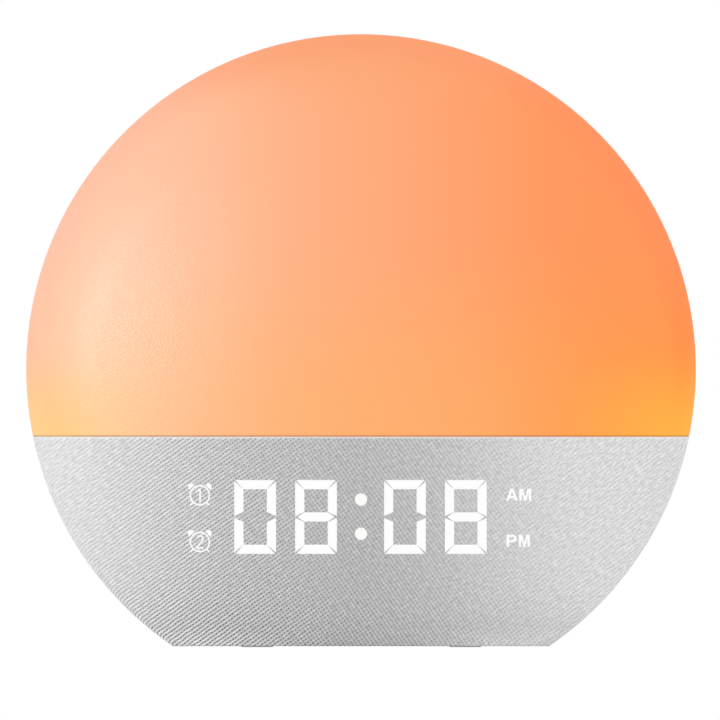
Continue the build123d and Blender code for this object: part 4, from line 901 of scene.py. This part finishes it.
def directRays(tree):
    # 1 for a ray from the camera, a mirror image or through glass, which see the backdrop as white
    rays = addNode(tree, "LightPath").outputs
    seen = calculate(tree, "MAXIMUM", rays["Is Camera Ray"], rays["Is Glossy Ray"])
    return calculate(tree, "MAXIMUM", seen, rays["Is Transmission Ray"])


# floor: white paper that keeps the shadow and runs out to plain white round it, between the fade's
# two distances; from below it is clear, and so it is for the light that reaches the underside
# through it, whose rays are no longer than the nearness
backdrop = {"reach": 3.0, "colour": "#f4f4f4", "nearness": 0.8 * mm, "fade": (0.25, 0.8)}


def paperFloor():
    material, tree, shader = startMaterial(
        "matPaperWhite", {"Base Color": linear(backdrop["colour"]), "Roughness": 0.9}
    )
    rays = addNode(tree, "LightPath").outputs
    near = calculate(tree, "LESS_THAN", rays["Ray Length"], backdrop["nearness"])
    scattered = calculate(tree, "MULTIPLY", near, rays["Is Diffuse Ray"])
    below = addNode(tree, "NewGeometry").outputs["Backfacing"]
    seenThrough = calculate(tree, "MAXIMUM", scattered, below)
    fade = remap(tree, lengthOf(tree, placeOnPart(tree)), backdrop["fade"], smooth=True)
    faded = calculate(tree, "MULTIPLY", fade, directRays(tree))
    white = addNode(tree, "Emission", {"Color": (1, 1, 1, 1), "Strength": 1.0}).outputs[0]
    clear = addNode(tree, "BsdfTransparent").outputs[0]
    paper = addNode(tree, "MixShader", {0: faded, 1: shader.outputs[0], 2: white}).outputs[0]
    oneSided = addNode(tree, "MixShader", {0: seenThrough, 1: paper, 2: clear}).outputs[0]
    feed(tree, tree.nodes["Material Output"], {"Surface": oneSided})
    return material


floorMesh = bpy.data.meshes.new("floor")
reach = backdrop["reach"]
floorCorners = [(-reach, -reach, 0), (reach, -reach, 0), (reach, reach, 0), (-reach, reach, 0)]
floorMesh.from_pydata(floorCorners, [], [(0, 1, 2, 3)])
floorMesh.materials.append(paperFloor())
floor = bpy.data.objects.new("floor", floorMesh)
bpy.context.scene.collection.objects.link(floor)

world = bpy.data.worlds.new("studio")
bpy.context.scene.world = world
world.use_nodes = True
worldTree = world.node_tree
skyLevels = (0.35, 1.0)  # as light on the object, and as the backdrop behind it
feed(worldTree, worldTree.nodes["Background"], {
    "Color": (1, 1, 1, 1), "Strength": remap(worldTree, directRays(worldTree), toEnds=skyLevels),
})

# soft boxes round the object; level is the share of white that each gives a surface facing it, and
# the strip, flagged off the housing, shows on the front and the floor as a sheen alone
softBoxes = {
    "leftStrip": {"turn": -57, "rise": 9, "size": (0.5, 0.42), "level": 2.1},
    "leftKey": {"turn": -48, "rise": 10, "size": (0.3, 0.36), "level": 0.09},
    "leftSide": {"turn": -82, "rise": 9, "size": (0.9, 0.36), "level": 0.36},
    "rightSide": {"turn": 82, "rise": 9, "size": (0.9, 0.36), "level": 0.41},
    "front": {"turn": 8, "rise": 38, "size": (0.9, 0.6), "level": 0.26},
    "top": {"turn": 0, "rise": 80, "size": (0.9, 0.7), "level": 0.13},
    "back": {"turn": 170, "rise": 30, "size": (1.0, 0.8), "level": 0.36},
}
studio = {"distance": 1.2, "aimHeight": 80 * mm}
stripLit = bpy.data.collections.new("stripLit")
for lit in (parts["diffuser_dome"], clothPiece, floor):
    stripLit.objects.link(lit)
for name, box in softBoxes.items():
    lamp = bpy.data.lights.new(name, "AREA")
    lamp.shape = "RECTANGLE"
    lamp.size, lamp.size_y = box["size"]
    lamp.energy = box["level"] * math.pi**2 * studio["distance"] ** 2
    turn, rise = math.radians(box["turn"]), math.radians(box["rise"])
    lampObject = bpy.data.objects.new(name, lamp)
    lampObject.location = (
        studio["distance"] * math.cos(rise) * math.sin(turn),
        -studio["distance"] * math.cos(rise) * math.cos(turn),
        studio["aimHeight"] + studio["distance"] * math.sin(rise),
    )
    lampObject.rotation_euler = (math.pi / 2 - rise, 0, turn)
    isStrip = name == "leftStrip"
    lampObject.visible_camera = False
    lampObject.visible_diffuse = not isStrip
    lampObject.visible_glossy = isStrip
    if isStrip:
        lampObject.light_linking.receiver_collection = stripLit
    bpy.context.scene.collection.objects.link(lampObject)

# a long lens square to the front; distances in metres
lens = {"viewWidth": 0.1935, "place": (-0.28 * mm, -1.2, 77.16 * mm), "farthest": 10}
camera = bpy.data.cameras.new("camera")
camera.type = "ORTHO"
camera.ortho_scale = lens["viewWidth"]
camera.clip_end = lens["farthest"]
cameraObject = bpy.data.objects.new("camera", camera)
cameraObject.location = lens["place"]
cameraObject.rotation_euler = (math.pi / 2, 0, 0)
bpy.context.scene.collection.objects.link(cameraObject)
bpy.context.scene.camera = cameraObject
bpy.context.scene.view_settings.view_transform = "Standard"
print("studio and camera done")
